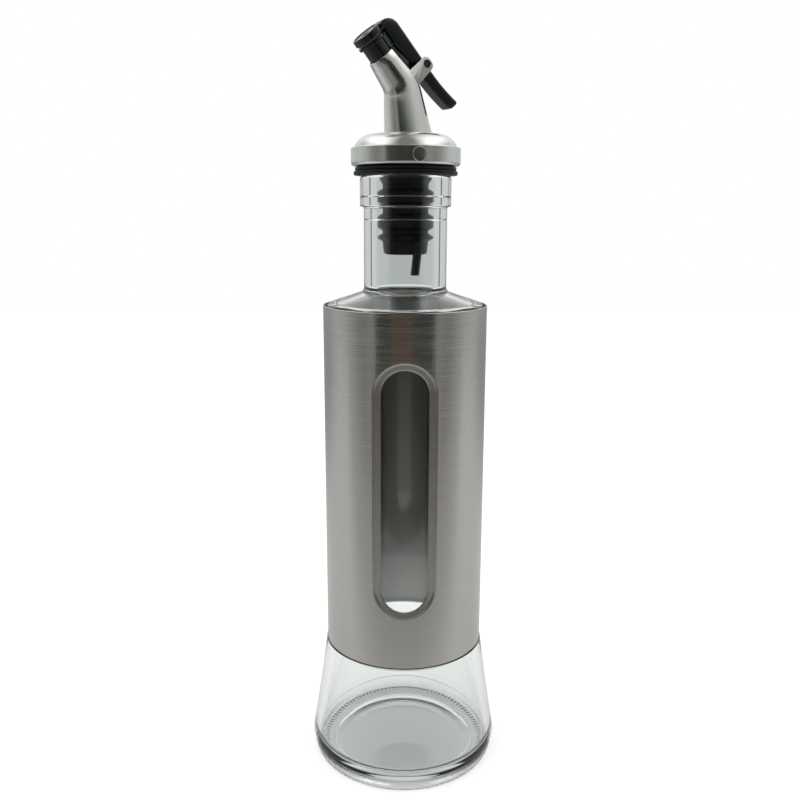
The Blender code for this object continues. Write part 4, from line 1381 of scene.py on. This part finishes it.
def studio_through_glass(made, away, height):
    """The studio as a ray sees it after the glass, and differently once the glass has mirrored it."""
    depth = made.rays("Glossy Depth")
    mirrored = depth.maths("MINIMUM", depth, 1.0)
    level = height.absolute().turn(15, 10)
    studio = made.blend(level, tone("mirrored in glass"), tone("mirrored level"))
    studio = made.blend(mirrored, tone("through glass"), studio)
    line = away.turn(141, 145) * away.turn(153, 149)
    studio = made.blend(line * level * mirrored, studio, tone("dark line"))
    front = made.blend(height.turn(-4, -20), tone("camera side"), tone("camera side floor"))
    return made.blend(away.turn(75, 55) * height.turn(14, 9) * mirrored, studio, front)


def studio_world():
    """A pale studio whose front, behind the camera, is a dark room."""
    world = bpy.data.worlds.new("studio")
    bpy.context.scene.world = world
    made = Finish(world)
    x, y, z = made.axes(made.add("ShaderNodeTexCoord", output="Generated"))
    bearing = made.add("ShaderNodeMath", {"operation": "ARCTAN2"}, {0: x, 1: y * -1.0})
    height = made.add("ShaderNodeMath", {"operation": "ARCSINE"}, {0: z})
    studio = mirrored_studio(made, x, y, bearing, height)
    studio = made.blend(made.rays("Is Diffuse Ray"), studio, tone("room light"))
    through = studio_through_glass(made, bearing.absolute(), height)
    studio = made.blend(made.rays("Is Transmission Ray"), studio, through)
    studio = made.blend(made.rays("Is Camera Ray"), studio, tone("backdrop"))
    made.feed(made.tree.nodes["Background"].inputs["Color"], studio)


def floor_finish():
    """A white table top, lifted to the white of the backdrop where the camera sees it, with painted shade
    where the metal mirrors it.
    """
    made = Finish(bpy.data.materials.new("white table"))
    depth = made.axes(made.place())[1]
    pale = made.blend(made.noise(400.0), tone("table, dull"), tone("table, bright"))
    mirrored = made.rays("Is Glossy Ray")
    # Painted shade on the table where the metal mirrors it: a painted shadow in front of the bottle, and
    # darker, bluer far behind
    pale = made.blend(depth.ramp(-0.03, -0.14) * mirrored, pale, tone("table, painted shadow near"))
    pale = made.blend(depth.ramp(0.10, 0.60) * mirrored, pale, tone("table, painted shade far"))
    made.set(Base_Color=pale, Roughness=0.7, Specular_IOR_Level=0.1)
    through = depth.ramp(0.05, 0.25) * 0.25 + 0.27
    lift = made.rays("Is Camera Ray") * 0.5 + made.rays("Is Transmission Ray") * through
    glow = made.add("ShaderNodeEmission", None, {"Strength": lift})
    both = made.add("ShaderNodeAddShader", None, {0: Value(made, made.shader.outputs[0]), 1: glow})
    made.feed(made.tree.nodes["Material Output"].inputs["Surface"], both)
    return made.owner


class MakeStage(bpy.types.Operator):
    """Set up the table, the soft light and the camera"""
    bl_idname = "oil_cruet.make_stage"
    bl_label = "Table, Light and Camera"

    def execute(self, context):
        stage = settings().stage
        scene = context.scene
        table = new_primitive("table", bpy.ops.mesh.primitive_grid_add, x_subdivisions=8, y_subdivisions=8,
                              size=1.0)
        table_width, table_back = 2.0, 1.6
        depth = table_back + stage.table_front
        spot = Matrix.Translation((0, depth / 2 - stage.table_front, 0))
        put(table, spot @ Matrix.Diagonal((table_width, depth, 1.0, 1.0)))
        table.data.materials.append(floor_finish())
        studio_world()
        self.lamp("key light", place=(-0.55, -0.25, 0.95), size=0.6, power=2.2)
        self.lamp("fill light", place=(0.65, -0.15, 0.75), size=0.7, power=1.6)
        camera = bpy.data.objects.new("camera", bpy.data.cameras.new("camera"))
        scene.collection.objects.link(camera)
        turn = Matrix.Rotation(pi / 2 - stage.pitch, 4, "X") @ Matrix.Rotation(stage.roll, 4, "Z")
        camera.matrix_world = Matrix.Translation(stage.eye) @ turn
        camera.data.sensor_width = stage.sensor
        camera.data.lens = stage.lens
        camera.data.clip_start = 0.01
        scene.camera = camera
        scene.view_settings.view_transform = "Standard"
        return {"FINISHED"}

    def lamp(self, name, place, size, power):
        """A soft square lamp, aimed at the bottle's middle, that the metal doesn't mirror."""
        light = bpy.data.lights.new(name, "AREA")
        light.shape = "SQUARE"
        light.size = size
        light.energy = power
        made = bpy.data.objects.new(name, light)
        made.visible_glossy = False
        bpy.context.scene.collection.objects.link(made)
        bottle_middle = Vector((0, 0, 0.14))
        aim = (bottle_middle - Vector(place)).to_track_quat("-Z", "Y")
        made.matrix_world = Matrix.Translation(place) @ aim.to_matrix().to_4x4()


# Panel and registration

class CruetPanel(bpy.types.Panel):
    """Lists the steps that make the cruet"""
    bl_idname = "VIEW3D_PT_oil_cruet"
    bl_label = "Oil Cruet"
    bl_space_type = "VIEW_3D"
    bl_region_type = "UI"
    bl_category = "Oil Cruet"

    def draw(self, context):
        for step in STEPS:
            self.layout.operator(step.bl_idname)
        for name in GROUPS:
            box = self.layout.box()
            box.label(text=name.capitalize())
            group = getattr(context.scene.oil_cruet, name)
            for key in group.bl_rna.properties.keys():
                if key not in {"rna_type", "name"}:
                    box.prop(group, key)


STEPS = (
    MakeBottle, MakeSleeve, MakeStopper, MakeAirTube, MakeSpout, MakeNozzle, MakePin, MakeLever, MakeSeal,
    MakeStage,
)
CLASSES = (*GROUPS.values(), CruetSettings, *STEPS, CruetPanel)


def register():
    for made in CLASSES:
        bpy.utils.register_class(made)
    bpy.types.Scene.oil_cruet = PointerProperty(type=CruetSettings)


def unregister():
    del bpy.types.Scene.oil_cruet
    for made in reversed(CLASSES):
        bpy.utils.unregister_class(made)


def main():
    register()
    for step in STEPS:
        group, name = step.bl_idname.split(".")
        getattr(getattr(bpy.ops, group), name)()


if __name__ == "__main__":
    main()
